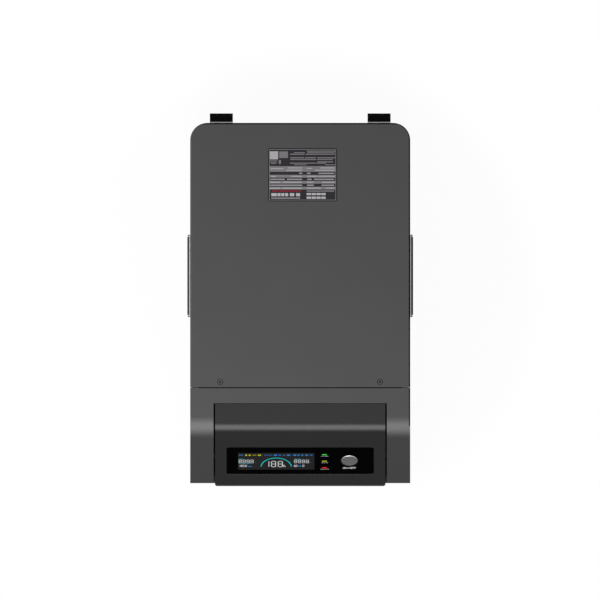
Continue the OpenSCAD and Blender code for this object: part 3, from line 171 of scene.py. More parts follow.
# ---- Steel housing ----
# The tray, the cover and the rear recess are folded 1.5 mm sheet steel, powder coated dark
# grey after welding, so every surface has the same fine, even texture and its edges are
# slightly round under the coat.
COAT_GRAIN = 1.1 * MM        # real grain is about 0.3 mm, drawn coarser so that it shows
DRIFT_SIZE = 70 * MM
GLOSS_SPREAD = 0.06
EDGE_R = 0.5 * MM
SHADE = "#080808"
BEND_W = 2.2 * MM
BEND_RUN = 0.2 * BEND_W


def toned(colour, share):
    """A hex colour in linear light, times a share."""
    return (*(share * level for level in linear(colour)[:3]), 1.0)


def grained(name, colour, roughness, grain, depth, drift=0.05, stretch=(1, 1, 1), edge=0.0, **sockets):
    """A finish with an even grain: one noise, grain across and drawn out by stretch, raises the surface
    by depth and spreads the roughness by GLOSS_SPREAD, and a slow noise, DRIFT_SIZE across, drifts the
    colour by drift. Where edge is given, it is the radius to which sharp edges look rounded. The real
    grain of paint, print, rubber and moulded plastic is 0.1 to 0.3 mm, and is drawn coarser to show."""
    material = bpy.data.materials.new(name)
    material.use_nodes = True
    tree = material.node_tree
    bsdf = tree.nodes["Principled BSDF"]
    spot = add(tree, "TexCoord").outputs["Object"]
    drawn = add(tree, "VectorMath", {0: spot, 1: stretch}, operation="DIVIDE").outputs[0]
    fine = add(tree, "TexNoise", {"Vector": drawn, "Scale": 1 / grain, "Detail": 2.0, "Roughness": 0.55})
    slow = add(tree, "TexNoise", {"Vector": spot, "Scale": 1 / DRIFT_SIZE, "Detail": 1.0})
    tone = add(tree, "Mix", {"Factor": slow.outputs[0], "A": toned(colour, 1 - drift),
                             "B": toned(colour, 1 + drift)}, data_type="RGBA")
    tree.links.new(tone.outputs["Result"], bsdf.inputs["Base Color"])
    spread = add(tree, "MapRange", {"Value": fine.outputs[0], "To Min": roughness - GLOSS_SPREAD,
                                    "To Max": roughness + GLOSS_SPREAD})
    tree.links.new(spread.outputs[0], bsdf.inputs["Roughness"])
    bump = add(tree, "Bump", {"Height": fine.outputs[0], "Distance": depth, "Strength": 1.0})
    if edge:
        rounded = add(tree, "Bevel", {"Radius": edge}, samples=6)
        tree.links.new(rounded.outputs[0], bump.inputs["Normal"])
    tree.links.new(bump.outputs[0], bsdf.inputs["Normal"])
    for key, value in sockets.items():
        bsdf.inputs[key.replace("_", " ")].default_value = value
    return material


def dress(finish, *names):
    """Puts a finish on CAD nodes, in the place of each material that they came with."""
    for name in names:
        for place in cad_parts[name].material_slots:
            place.material = finish


powder_coat = grained("dark_grey_powder_coat", "#525252", 0.46, COAT_GRAIN, 0.02 * MM, 0.04,
                      Metallic=0.6, Specular_IOR_Level=0.4)


def blacken(material, mask):
    """Turns a finish almost black where the mask is 1: this paints shade, and the dark joint line past the
    seam's ends.
    """
    tree = material.node_tree
    colour = tree.nodes["Principled BSDF"].inputs["Base Color"]
    shaded = add(tree, "Mix", {"Factor": mask, "A": colour.links[0].from_socket, "B": linear(SHADE)},
                 data_type="RGBA")
    tree.links.new(shaded.outputs["Result"], colour)


def shade_bends(material, side, rear, top):
    """Paints shade on a finish, almost black and without its specular shine, on the bend where the top turns
    down at the right and at the rear: from BEND_W inside the side or the rear, and down to BEND_W below the
    top."""
    tree = material.node_tree
    at = add(tree, "SeparateXYZ", {0: add(tree, "TexCoord").outputs["Object"]}).outputs
    reached = [add(tree, "MapRange", {"Value": at[axis], "From Min": end - BEND_W,
                                      "From Max": end - BEND_W + BEND_RUN}).outputs[0]
               for axis, end in (("X", side), ("Y", rear), ("Z", top))]
    bend = add(tree, "Math", {0: reached[0], 1: reached[1]}, operation="MAXIMUM").outputs[0]
    bend = add(tree, "Math", {0: bend, 1: reached[2]}, operation="MULTIPLY").outputs[0]
    blacken(material, bend)
    shine = tree.nodes["Principled BSDF"].inputs["Specular IOR Level"]
    shaded_shine = add(tree, "MapRange", {"Value": bend, "To Min": shine.default_value, "To Max": 0.0})
    tree.links.new(shaded_shine.outputs[0], shine)


cover_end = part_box("top_cover")[1]
# Painted shade: the cover's finish is drawn almost black along its right and rear bends
shade_bends(powder_coat, *cover_end)
dress(powder_coat, "top_cover", "base_tray", "io_panel")

# ---- Front moulding ----
# One injection-moulded ABS frame joins the cover to the floor and wraps the sockets. It is
# painted to match the steel, a little smoother, and bends down in two flanks.
moulding_paint = grained("grey_painted_abs", "#535353", 0.42, 1.4 * MM, 0.012 * MM, 0.03, edge=EDGE_R,
                         Metallic=0.6, Specular_IOR_Level=0.4)
# The moulding's finish gets the same painted shade along the bends
shade_bends(moulding_paint, *cover_end)
dress(moulding_paint, "front_bezel")

# ---- Fascia ----
# A darker satin ABS hood carries the display on its slope. It is a separate moulding, set
# into the frame with a thin shadow gap on each side.
fascia_abs = grained("charcoal_satin_abs", "#1d1d1d", 0.275, 0.9 * MM, 0.005 * MM, 0.03, edge=2 * EDGE_R,
                     Specular_IOR_Level=0.5)
dress(fascia_abs, "fascia")

# ---- Display ----
# The window is black acrylic, printed from behind, and its anti-glare coat leaves hardly a
# reflection. The liquid crystal display lies a hair below its face, a little greyer, and
# shows plain numbers, a gauge and small marks.
window_acrylic = grained("black_antiglare_acrylic", "#020202", 0.3, 6 * MM, 0.0, 0.0,
                         Specular_IOR_Level=0.012)
display_glass = grained("display_glass", "#272727", 0.3, 1.4 * MM, 0.0, 0.25, Specular_IOR_Level=0.05)
dress(window_acrylic, "display_window")
dress(display_glass, "lcd_module")

FACE_SLOPE = radians(53)
ACROSS = (1, 0, 0)
UP_SLOPE = (0, cos(FACE_SLOPE), sin(FACE_SLOPE))
UPRIGHT = (0, 0, 1)
INK_T = 0.05 * MM


def reach(name, origin, across=ACROSS, up=UP_SLOPE, above=-1):
    """Lowest and highest corner of a CAD node, measured from origin along across, up and out of both,
    from those of its points that lie above a level."""
    points = np.array([point.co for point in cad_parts[name].data.vertices]) - origin
    points = points @ np.array((across, up, np.cross(across, up)), float).T
    points = points[points[:, 2] > above]
    return points.min(axis=0), points.max(axis=0)


def laid(grid, origin, across=ACROSS, up=UP_SLOPE):
    """Places a grid drawn in its own plane: its x along across, its y along up and its z out of both."""
    return np.array(origin) + grid @ np.array((across, up, np.cross(across, up)), float)


def stroke(path, width, height=INK_T):
    """A flat bar along a path of (x, y): at each point the section is width across the path's way and
    height tall, and the two ends close on themselves."""
    path = np.array(path, float)
    way = np.gradient(path, axis=0)
    way /= np.linalg.norm(way, axis=1, keepdims=True)
    side = np.stack([-way[:, 1], way[:, 0]], -1) * width / 2
    ring = [np.c_[path + k * side, np.full(len(path), z)]
            for k, z in ((-1, 0), (1, 0), (1, height), (-1, height))]
    grid = np.stack(ring, 1)
    ends = [np.repeat(grid[i].mean(0)[None, None], 4, 1) for i in (0, -1)]
    return np.concatenate([ends[0], grid, ends[1]])


def piece(name, grids, body, finish, stands_for=(), sharp=35):
    """One piece from grids of points, whose rows run on and whose columns close in a ring. Doubles are
    merged, faces turned outwards, and edges over the sharp angle kept crisp."""
    points, faces, start = [], [], 0
    for grid in grids:
        rows, columns = grid.shape[:2]
        here = start + np.arange(rows * columns).reshape(rows, columns)
        beside = np.roll(here, -1, axis=1)
        faces.append(np.stack([here[:-1], beside[:-1], beside[1:], here[1:]], -1).reshape(-1, 4))
        points.append(grid.reshape(-1, 3))
        start += rows * columns
    mesh = bpy.data.meshes.new(name)
    mesh.from_pydata(np.concatenate(points).tolist(), [], np.concatenate(faces).tolist())
    work = bmesh.new()
    work.from_mesh(mesh)
    bmesh.ops.remove_doubles(work, verts=work.verts, dist=1e-7)
    bmesh.ops.dissolve_degenerate(work, edges=work.edges, dist=1e-8)
    bmesh.ops.recalc_face_normals(work, faces=work.faces)
    work.to_mesh(mesh)
    work.free()
    mesh.shade_smooth()
    mesh.set_sharp_from_angle(angle=radians(sharp))
    mesh.materials.append(finish)
    made = bpy.data.objects.new(name, mesh)
    bpy.context.scene.collection.objects.link(made)
    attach(made, body)
    if stands_for:
        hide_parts(*stands_for)
    return made


def lit(name, colour):
    """A lit mark of the display or a lamp: black ink that glows evenly in its colour, with a speckle of
    finer dots on its roughness."""
    material = grained(name, "#050505", 0.4, 0.6 * MM, 0.0, 0.0, Specular_IOR_Level=0.05)
    bsdf = material.node_tree.nodes["Principled BSDF"]
    bsdf.inputs["Emission Color"].default_value = linear(colour)
    bsdf.inputs["Emission Strength"].default_value = 1.0
    return material


def dashes(rows):
    """Level marks, from rows of (level, height, spans): one mark from x0 to x1 for each span."""
    return [stroke([(x0, level), (x1, level)], height) for level, height, spans in rows for x0, x1 in spans]


# A digit's seven bars, as end points in a box one wide and two high, and the bars of each digit
BARS = {"top": ((0, 2), (1, 2)), "middle": ((0, 1), (1, 1)), "foot": ((0, 0), (1, 0)),
        "upper_left": ((0, 1), (0, 2)), "upper_right": ((1, 1), (1, 2)),
        "lower_left": ((0, 0), (0, 1)), "lower_right": ((1, 0), (1, 1))}
DIGITS = {"1": ("upper_right", "lower_right"), "8": tuple(BARS),
          "5": ("top", "upper_left", "middle", "lower_right", "foot"),
          "0": tuple(bar for bar in BARS if bar != "middle")}
DIGIT_SHARE = 0.62
BAR_GAP = 0.62


def numerals(text, left, foot, pitch, height, weight):
    """Seven-bar digits from left to right, DIGIT_SHARE of their pitch wide: each bar is drawn between its
    end points, less BAR_GAP of its weight at either end."""
    width = pitch * DIGIT_SHARE
    made = []
    for place, digit in enumerate(text):
        for bar in DIGITS[digit]:
            ends = np.array(BARS[bar], float) * (width, height / 2) + (left + place * pitch, foot)
            gap = (ends[1] - ends[0]) / np.linalg.norm(ends[1] - ends[0]) * weight * BAR_GAP
            made.append(stroke([ends[0] + gap, ends[1] - gap], weight))
    return made


def set_on(origin, grids, across=ACROSS, up=UP_SLOPE):
    """Grids drawn in millimetres, but with their heights in metres, laid on a face."""
    return [laid(grid * (MM, MM, 1), origin, across, up) for grid in grids]


window_low, window_high = reach("display_window", np.zeros(3))
OUT_OF_SLOPE = np.cross(ACROSS, UP_SLOPE)
slope_axes = np.array((ACROSS, UP_SLOPE, OUT_OF_SLOPE))
face_middle = np.array((*(window_low + window_high)[:2] / 2, window_high[2])) @ slope_axes
lcd_low, lcd_high = reach("lcd_module", face_middle)
lcd_middle = face_middle + np.array((*(lcd_low + lcd_high)[:2] / 2, lcd_high[2])) @ slope_axes

# All that the display shows, in mm from its middle: the gauge, the numbers as (text, left end, foot,
# pitch, height, weight), and marks as (level, height, spans)
GAUGE_R, GAUGE_LEVEL, GAUGE_WEIGHT = 22.2, -14.5, 1.4
GAUGE_TURN, GAUGE_POINTS = (5, 175), 49
NUMBERS = (("188", -16.7, -13.3, 9.8, 13.2, 0.95),
           ("8888", -54.1, -4.0, 5.75, 7.2, 0.62), ("8888", 26.4, -4.0, 5.75, 7.2, 0.62),
           ("1850", -54.6, -13.2, 3.2, 4.2, 0.7), ("80", 26.2, -13.2, 2.6, 4.2, 0.7),
           ("0", 38.4, -13.2, 3.4, 4.2, 0.7))
SHARE_SIGN = ((10.2, -13.4), (12.6, -9.2))
SHARE_SIGN_WEIGHT = 0.6
SHARE_SIGN_DOTS = ((-9.6, 1.3, ((9.4, 10.8),)), (-13.0, 1.3, ((12.2, 13.6),)))
HEADINGS = ((4.8, 1.2, ((-54.4, -47.4), (26.7, 35.8))), (-5.9, 0.7, ((-54.6, -35.6),)))
BLUE_ICONS = ((14.6, 1.9, ((-54.2, -52.6), (-51.9, -50.5), (-49.9, -48.4))),
              (14.6, 3.0, ((-3.3, 0.9), (15.6, 20.0), (25.1, 29.0))),
              (14.6, 2.0, ((3.0, 4.0), (4.6, 5.6), (6.1, 7.0), (10.1, 11.2), (11.8, 12.9))),
              (15.1, 1.7, ((30.6, 34.0), (36.1, 39.6), (42.0, 46.7))),
              (13.5, 0.9, ((31.3, 33.3), (36.9, 38.8), (43.0, 45.7))),
              (14.6, 2.0, ((49.1, 50.4), (51.1, 52.6))),
              (-12.6, 1.7, ((-41.2, -39.5), (-38.9, -37.3), (-36.9, -35.3))),
              (-11.4, 3.0, ((32.4, 34.0), (34.7, 36.3))),
              (-3.1, 0.9, ((-30.6, -29.7), (49.8, 50.8))))
DIM_ICONS = ((14.6, 1.9, ((-17.3, -15.4), (-14.9, -13.2), (-12.6, -10.8), (-10.2, -8.4), (-7.8, -6.0),
                          (21.8, 22.5))),)
YELLOW_ICONS = ((14.6, 3.0, ((-45.1, -42.4), (-39.9, -37.5), (-26.5, -24.6), (-24.0, -22.2))),
                (14.6, 1.1, ((-34.5, -33.1), (-32.5, -31.0), (-30.5, -29.0))))
gauge_turn = np.radians(np.linspace(*GAUGE_TURN, GAUGE_POINTS))
gauge = np.stack([GAUGE_R * np.cos(gauge_turn), GAUGE_R * np.sin(gauge_turn) + GAUGE_LEVEL], -1)
number_bars = [bar for number in NUMBERS for bar in numerals(*number)]
number_bars += [stroke(SHARE_SIGN, SHARE_SIGN_WEIGHT), *dashes(SHARE_SIGN_DOTS)]
for name, bars, finish in (("lcd_gauge", [stroke(gauge, GAUGE_WEIGHT)], lit("display_teal", "#0ebcbe")),
                           ("lcd_headings", dashes(HEADINGS), lit("display_soft_teal", "#1a9aa2")),
                           ("lcd_numbers", number_bars, lit("display_white", "#e8eaec")),
                           ("lcd_icons_blue", dashes(BLUE_ICONS), lit("display_blue", "#2f7cc4")),
                           ("lcd_icons_dim", dashes(DIM_ICONS), lit("display_dim_blue", "#245a8c")),
                           ("lcd_icons_yellow", dashes(YELLOW_ICONS), lit("display_yellow", "#c4be20"))):
    piece(name, set_on(lcd_middle, bars), "housing", finish)

# ---- Seam shade strips ----
# A black strip on the moulding's tongue, at the bottom of the open seam between the cover and the moulding,
# stands in for the shade in the seam. Two more, glued inside the walls behind its sides, stand in for the shade
# behind the side seams.
SEAM_GAP = 1 * MM
SEAM_END = 10.9 * MM         # from the cover's side to the end of the open seam
SEAM_SHADE = 0.25 * MM
HAIRLINE = 0.12 * MM
TONGUE_DROP = 1.8 * MM
SHADE_STRIP_W, SHADE_STRIP_T = 0.9 * MM, 0.8 * MM
STRIP_W, STRIP_T, STRIP_DROP = 5 * MM, 0.6 * MM, 6 * MM
WALL_T = 3.05 * MM
cover_low, cover_high = np.array(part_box("top_cover"))
shade_strip_l = cover_high[0] - SEAM_END - SHADE_STRIP_W
seam_y = cover_low[1] - SEAM_GAP / 2


def shade_seam(material):
    """Paints shade on a finish, almost black, on the walls of the seam and on SEAM_SHADE beside it, as far as
    it is open, and past its ends draws a dark joint line that reaches HAIRLINE to either side of its middle."""
    tree = material.node_tree
    at = add(tree, "SeparateXYZ", {0: add(tree, "TexCoord").outputs["Object"]}).outputs
    opened = add(tree, "Math", {0: at["X"], 1: 0.0, 2: shade_strip_l}, operation="COMPARE").outputs[0]
    half_w = add(tree, "MapRange", {"Value": opened, "To Min": HAIRLINE, "To Max": SEAM_GAP / 2 + SEAM_SHADE})
    seam = add(tree, "Math", {0: at["Y"], 1: seam_y, 2: half_w.outputs[0]}, operation="COMPARE").outputs[0]
    blacken(material, seam)


shade_seam(powder_coat)
shade_seam(moulding_paint)
bottom_shade_strip = stroke([(-shade_strip_l, 0), (shade_strip_l, 0)], SHADE_STRIP_W, SHADE_STRIP_T)
bottom_shade_strip += (0, seam_y, cover_high[2] - TONGUE_DROP)
strip = stroke([(0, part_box("base_tray")[1][2] + SHADE_STRIP_W), (0, cover_high[2] - STRIP_DROP)], STRIP_W, STRIP_T)
strip_x = cover_high[0] - WALL_T - STRIP_T
strips = [laid(strip, (side * strip_x, seam_y, 0), (0, side, 0), UPRIGHT) for side in (1, -1)]
# The strips are dull black, so the seam shows as a black line of painted shade from every side
seam_shade_black = grained("black_seam_shade", "#050505", 0.9, 0.6 * MM, 0.05 * MM, 0.05, Specular_IOR_Level=0.05)
piece("seam_shade_strips", [bottom_shade_strip, *strips], "housing", seam_shade_black)

# ---- Indicator lamps ----
# Three tinted polycarbonate lenses lie flush in the window: green, yellow and red. A slot behind
# each lets its light through, and the short white marks below it stand for a caption.
CAPTION_DROP, CAPTION_H = 3.7, 1.0
SLOT_SHARE = 0.6             # of the lens's height


def glow_on_slot(material, level, half_h):
    """Lets a lens glow only on a slot, half_h either side of a level up the slope."""
    tree = material.node_tree
    spot = add(tree, "TexCoord").outputs["Object"]
    up = add(tree, "VectorMath", {0: spot, 1: UP_SLOPE}, operation="DOT_PRODUCT").outputs["Value"]
    glow = add(tree, "Math", {0: up, 1: level, 2: half_h}, operation="COMPARE").outputs[0]
    tree.links.new(glow, tree.nodes["Principled BSDF"].inputs["Emission Strength"])


# The marks' spans are in mm from the lens's middle
lamp_marks = []
for name, colour, spans in (("run_light", "#27d93f", ((-5.0, -2.6), (-2.0, 0.2), (0.8, 5.6))),
                            ("charge_light", "#b4b022", ((-4.2, -1.6), (-1.0, 1.2), (1.8, 5.2))),
                            ("fault_light", "#ee2420", ((-6.0, -3.4), (-2.8, 0.4), (1.0, 2.6), (3.2, 6.6)))):
    low, high = reach(name, face_middle)
    middle = (low + high) / 2 / MM
    lens = lit(name + "_lens", colour)
    glow_on_slot(lens, np.dot(face_middle, UP_SLOPE) + middle[1] * MM, (high - low)[1] * SLOT_SHARE / 2)
    dress(lens, name)
    lamp_marks += dashes([(middle[1] - CAPTION_DROP, CAPTION_H, np.array(spans) + middle[0])])
window_print = grained("white_window_print", "#c8c8c8", 0.5, 0.5 * MM, 0.0, 0.1)
piece("lamp_marks", set_on(face_middle, lamp_marks), "housing", window_print)

# ---- Power button ----
# A round cap of satin grey ABS with a slightly sunk face, knurled in a fine mesh so that a
# finger finds it. It slides in a black rim, and the window below it is printed ON/OFF.
CAP_EDGE = 1.2 * MM
CAP_PLAY = 0.2 * MM
CAP_DISH = 0.35 * MM
RIM_GAP = 0.1 * MM
CAP_SKIRT = 3.5 * MM
CAP_FLANGE = 1.5 * MM
STEM_R = 3 * MM
MESH_PITCH, MESH_DEPTH = 1.3 * MM, 0.05 * MM
CAP_SIDES, DISH_POINTS = 96, 10


def arc(middle, radius, start, end, count=8):
    """Points of an arc about middle, from one angle to the other, in degrees."""
    turn = np.radians(np.linspace(start, end, count))
    return np.stack([middle[0] + radius * np.cos(turn), middle[1] + radius * np.sin(turn)], -1)


def revolve(profile, count=64):
    """Turns a profile of (r, z) about z: at each of count angles a point is (r cos a, r sin a, z)."""
    turn = np.linspace(0, 2 * pi, count, endpoint=False)
    profile = np.array(profile, float)
    r, z = profile[:, :1], profile[:, 1:]
    return np.stack([r * np.cos(turn), r * np.sin(turn), z + 0 * turn], -1)


def knurled(name, colour, roughness, pitch, depth, **sockets):
    """A grained finish crossed by two sets of ridges, pitch apart, which run up the slope and across it
    at 45 degrees, and raise the surface by depth."""
    material = grained(name, colour, roughness, pitch, 0.0, 0.03, **sockets)
    tree = material.node_tree
    spot = add(tree, "TexCoord").outputs["Object"]
    sets = []
    for side in (1, -1):
        along = add(tree, "VectorMath", {0: spot, 1: np.array((side, *UP_SLOPE[1:])) / np.sqrt(2)},
                    operation="DOT_PRODUCT").outputs["Value"]
        wave = add(tree, "Math", {0: along, 1: 2 * pi / pitch}, operation="MULTIPLY").outputs[0]
        sets.append(add(tree, "Math", {0: wave}, operation="SINE").outputs[0])
    ridge = add(tree, "Math", {0: sets[0], 1: sets[1]}, operation="MULTIPLY").outputs[0]
    bump = add(tree, "Bump", {"Height": ridge, "Distance": depth, "Strength": 1.0})
    bsdf = tree.nodes["Principled BSDF"]
    tree.links.new(bump.outputs[0], bsdf.inputs["Normal"])
    return material


low, high = reach("power_button", face_middle, above=0)
cap_middle = face_middle + np.array((*(low + high)[:2] / 2, 0)) @ slope_axes
cap_r, cap_top = (high - low)[0] / 2 - CAP_PLAY, high[2]
foot, flange = reach("power_button", cap_middle)
dish = np.linspace(0, 1, DISH_POINTS)
face_r = cap_r - CAP_EDGE
cap_profile = np.concatenate([
    np.stack([dish * face_r, cap_top - CAP_DISH * (1 - dish ** 2)], -1),
    ((face_r, -CAP_SKIRT), (flange[0], -CAP_SKIRT), (flange[0], -CAP_SKIRT - CAP_FLANGE),
     (STEM_R, -CAP_SKIRT - CAP_FLANGE), (STEM_R, foot[2]), (0, foot[2]))])
rim_profile = np.concatenate([
    arc((face_r, cap_top - CAP_EDGE), CAP_EDGE, 90, 0),
    ((cap_r, -CAP_SKIRT + RIM_GAP), (face_r, -CAP_SKIRT + RIM_GAP), (face_r, cap_top))])
button_abs = knurled("grey_knurled_abs", "#6a6a6c", 0.36, MESH_PITCH, MESH_DEPTH, Specular_IOR_Level=0.5)
piece("power_button_cap", [laid(revolve(cap_profile, CAP_SIDES), cap_middle)], "power_button", button_abs,
      ["power_button"])
# The rim is satin-plated, smooth and without a grain, so it shows as one thin bright ring
satin_rim = grained("bright_satin_rim", "#c6c6c8", 0.24, 3 * MM, 0.0, 0.0, Metallic=1.0)
piece("power_button_rim", [laid(revolve(rim_profile, CAP_SIDES), cap_middle)], "power_button", satin_rim,
      ["power_button"])
# The fixed ring is polished ABS and sinks into the window's black, and the switch behind is satin
gloss_black = grained("gloss_black_abs", "#020202", 0.3, 3 * MM, 0.0, 0.0, Specular_IOR_Level=0.04)
satin_black = grained("satin_black_abs", "#121212", 0.45, 0.9 * MM, 0.01 * MM, 0.05)
dress(gloss_black, "button_ring")
dress(satin_black, "button_switch")

# Letters as paths in a box one wide and one high
LETTERS = {"O": [((0.25, 0), (0.75, 0), (1, 0.25), (1, 0.75), (0.75, 1), (0.25, 1), (0, 0.75), (0, 0.25),
                  (0.25, 0))],
           "N": [((0, 0), (0, 1), (1, 0), (1, 1))], "I": [((0.5, 0), (0.5, 1))],
           "F": [((0, 0), (0, 1), (1, 1)), ((0, 0.52), (0.85, 0.52))], "/": [((0.1, -0.05), (0.9, 1.05))]}
LETTER_SHARE = 0.76
LETTER_LAP = 0.4


def lettering(text, middle, width, height, weight):
    """Plain switch lettering about a middle, LETTER_SHARE of its pitch wide: each letter's paths as
    separate bars, longer by LETTER_LAP of their weight at either end, so that they meet."""
    pitch = width / len(text)
    made = []
    for place, letter in enumerate(text):
        corner = np.array(middle) + (place * pitch - width / 2 + pitch * (1 - LETTER_SHARE) / 2, -height / 2)
        for path in LETTERS[letter]:
            path = np.array(path) * (pitch * LETTER_SHARE, height) + corner
            for a, b in zip(path[:-1], path[1:]):
                lap = (b - a) / np.linalg.norm(b - a) * weight * LETTER_LAP
                made.append(stroke([a - lap, b + lap], weight))
    return made


WORD_DROP, WORD_W, WORD_H, WORD_WEIGHT = 18.2, 19.6, 3.3, 0.65
word_middle = (cap_middle - face_middle) @ slope_axes.T / MM - (0, WORD_DROP, 0)
piece("button_word", set_on(face_middle, lettering("ON/OFF", word_middle[:2], WORD_W, WORD_H, WORD_WEIGHT)),
      "housing", grained("bright_window_print", "#ffffff", 0.5, 0.5 * MM, 0.0, 0.1))

# ---- Rating plate ----
# A printed polyester film on the cover, satin and darker than the steel under its pale ink.
# Its border, rows and bars are generic: they stand where a maker's table would be, and there
# is no word, mark or code among them.
PLATE_T = 0.34 * MM
PLATE_R = 3 * MM
PLATE_EDGE = 0.1 * MM
ROW_T = 0.02 * MM
LEAST_CORNER = 0.3           # of a plate's corner radius, however far inwards a ring lies


def plate(width, height, corner, steps, count=6):
    """Rounded rectangles stacked from the back to the front, each (inset, level), with four quarter arcs
    of the corner's radius, and closed by a point at each end."""
    rings = []
    for inset, level in steps:
        r = max(corner - inset, corner * LEAST_CORNER)
        quarter = arc((0, 0), r, 0, 90, count)
        ring = []
        for k, (sx, sy) in enumerate(((1, 1), (-1, 1), (-1, -1), (1, -1))):
            c, t = round(cos(k * pi / 2)), round(sin(k * pi / 2))
            middle = (sx * (width / 2 - inset - r), sy * (height / 2 - inset - r))
            ring.append(quarter @ np.array(((c, t), (-t, c))) + middle)
        ring = np.concatenate(ring)
        rings.append(np.c_[ring, np.full(len(ring), level)])
    ends = [np.tile(rings[k].mean(axis=0), (len(rings[0]), 1)) for k in (0, -1)]
    return np.stack([ends[0], *rings, ends[1]])


film_low, film_high = np.array(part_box("rating_plate"))
film_w, film_d = (film_high - film_low)[:2]
film_middle = np.array((*(film_low + film_high)[:2] / 2, film_low[2]))
flat = dict(across=ACROSS, up=(0, 1, 0))
film = plate(film_w, film_d, PLATE_R, ((0, 0), (0, PLATE_T - PLATE_EDGE), (PLATE_EDGE, PLATE_T)))
piece("rating_film", [laid(film, film_middle, **flat)], "housing",
      grained("dark_grey_film", "#232125", 0.45, 1.2 * MM, 0.002 * MM, 0.08, Specular_IOR_Level=0.3),
      ["rating_plate"])
# The border, the grey rows as (level, height), and the print as (level, height, spans), in mm from the
# plate's middle
BORDER_IN, BORDER_WEIGHT = (2.1, 2.0), 0.6
ROW_END = 48.2
GREY_ROWS = ((8.5, 8.2), (-2.1, 4.1), (-10.8, 4.1), (-19.4, 4.1))
FAINT_ROWS = ((34.4, 1.6, ((6.4, 47.7),)), (32.2, 1.3, ((-12.3, 3.2), (7.0, 46.5))),
              (29.9, 1.6, ((-18.2, 2.9), (4.5, 47.3))),
              (24.9, 1.6, ((-18.0, 2.0), (3.2, 19.5), (21.5, 47.5))),
              (22.4, 1.6, ((-18.0, 20.1), (21.5, 44.0))), (18.8, 1.7, ((21.5, 44.5),)),
              (16.9, 1.5, ((-18.2, 19.0), (20.0, 34.0))), (14.6, 1.2, ((-12.0, 6.0), (33.0, 47.0))),
              (29.2, 9.6, ((-33.9, -21.2),)), (20.4, 1.1, ((-47.5, -36.6),)), (18.4, 1.1, ((-47.0, -37.4),)),
              (16.4, 1.1, ((-46.0, -38.4),)), (18.6, 5.8, ((-34.6, -31.4),)))
PALE_ROWS = ((28.3, 11.8, ((-47.6, -35.5),)),
             (10.0, 1.5, ((-21.4, -0.6), (26.0, 46.8))), (6.6, 1.5, ((-23.2, -0.6), (18.2, 46.8))),
             (9.0, 1.2, ((-46.8, -27.7),)), (9.4, 1.4, ((6.4, 14.1),)),
             (2.2, 1.4, ((-5.0, -0.5), (6.4, 11.8), (23.2, 45.9))),
             (-2.2, 1.5, ((-45.9, -38.6), (-16.8, -0.5), (6.4, 21.4), (22.7, 46.8))),
             (-6.5, 1.4, ((-46.8, -25.9), (-22.7, -0.9), (6.8, 13.2), (16.8, 45.9))),
             (-10.8, 1.5, ((-47.3, -32.3), (-28.6, -1.4), (6.4, 16.4), (28.2, 46.4))),
             (-15.1, 1.4, ((-48.0, -0.5), (6.4, 16.4), (27.7, 45.9))),
             (-19.4, 1.5, ((-47.7, -32.3), (-29.5, -0.5), (5.9, 26.8), (33.6, 46.4))),
             (-23.6, 0.9, ((5.9, 45.9),)), (-33.9, 1.1, ((-45.5, -3.6),)))
LOWER_BARS = ((5.9, 12.5), (13.3, 19.5), (20.3, 26.5), (27.3, 33.6))
BRIGHT_ROWS = ((-28.9, 4.6, ((-45.5, -37.5), (-36.5, -32.0), (-31.0, -26.5), (-25.5, -21.0), (-18.5, -12.0),
                             (-9.5, -3.6))),
               (-28.0, 3.2, LOWER_BARS), (-33.3, 3.2, LOWER_BARS))
RED_RULES = ((-23.7, 1.5, ((-44.1, -34.5), (-33.2, -2.3))),)
corners = np.array(((-1, -1), (1, -1), (1, 1), (-1, 1), (-1, -1)))
corners = corners * (np.array((film_w, film_d)) / MM / 2 - BORDER_IN)
border = [stroke([a, b], BORDER_WEIGHT) for a, b in zip(corners[:-1], corners[1:])]
grey_rows = [stroke([(-ROW_END, level), (ROW_END, level)], height, ROW_T) for level, height in GREY_ROWS]
for name, bars, colour in (("film_rows", grey_rows, "#908d91"), ("film_border", border, "#9c999d"),
                           ("film_faint_print", dashes(FAINT_ROWS), "#8a878b"),
                           ("film_pale_print", dashes(PALE_ROWS), "#c8c5ca"),
                           ("film_bright_print", dashes(BRIGHT_ROWS), "#d4d1d5"),
                           ("film_red_rule", dashes(RED_RULES), "#a81a34")):
    ink = grained(name + "_ink", colour, 0.5, 0.8 * MM, 0.0, 0.12, Specular_IOR_Level=0.3)
    piece(name, set_on(film_middle + (0, 0, PLATE_T), bars, **flat), "housing", ink)

# ---- Cover screws ----
# Two countersunk cross-head steel screws hold the cover's front edge down. Their heads are coated like the
# cover; the recess and the turned rim are painted black as shade, and a black rubber ring at the bottom of each
# countersink's gap stands in for the shade there.
RECESS_SHADE = 0.2 * MM
RECESS_R = 1.7 * MM
RIM_W = 0.6 * MM
SOFT = 0.1                   # share of a radius or a width over which the coat ends
SHADE_RING_W, SHADE_RING_D, SHADE_RING_SIDES = 0.44 * MM, 0.4 * MM, 48
low, high = np.array(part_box("cover_screws"))
head_r = (high - low)[1] / 2
screw_at = np.array((high[0] - head_r, low[1] + head_r, high[2]))


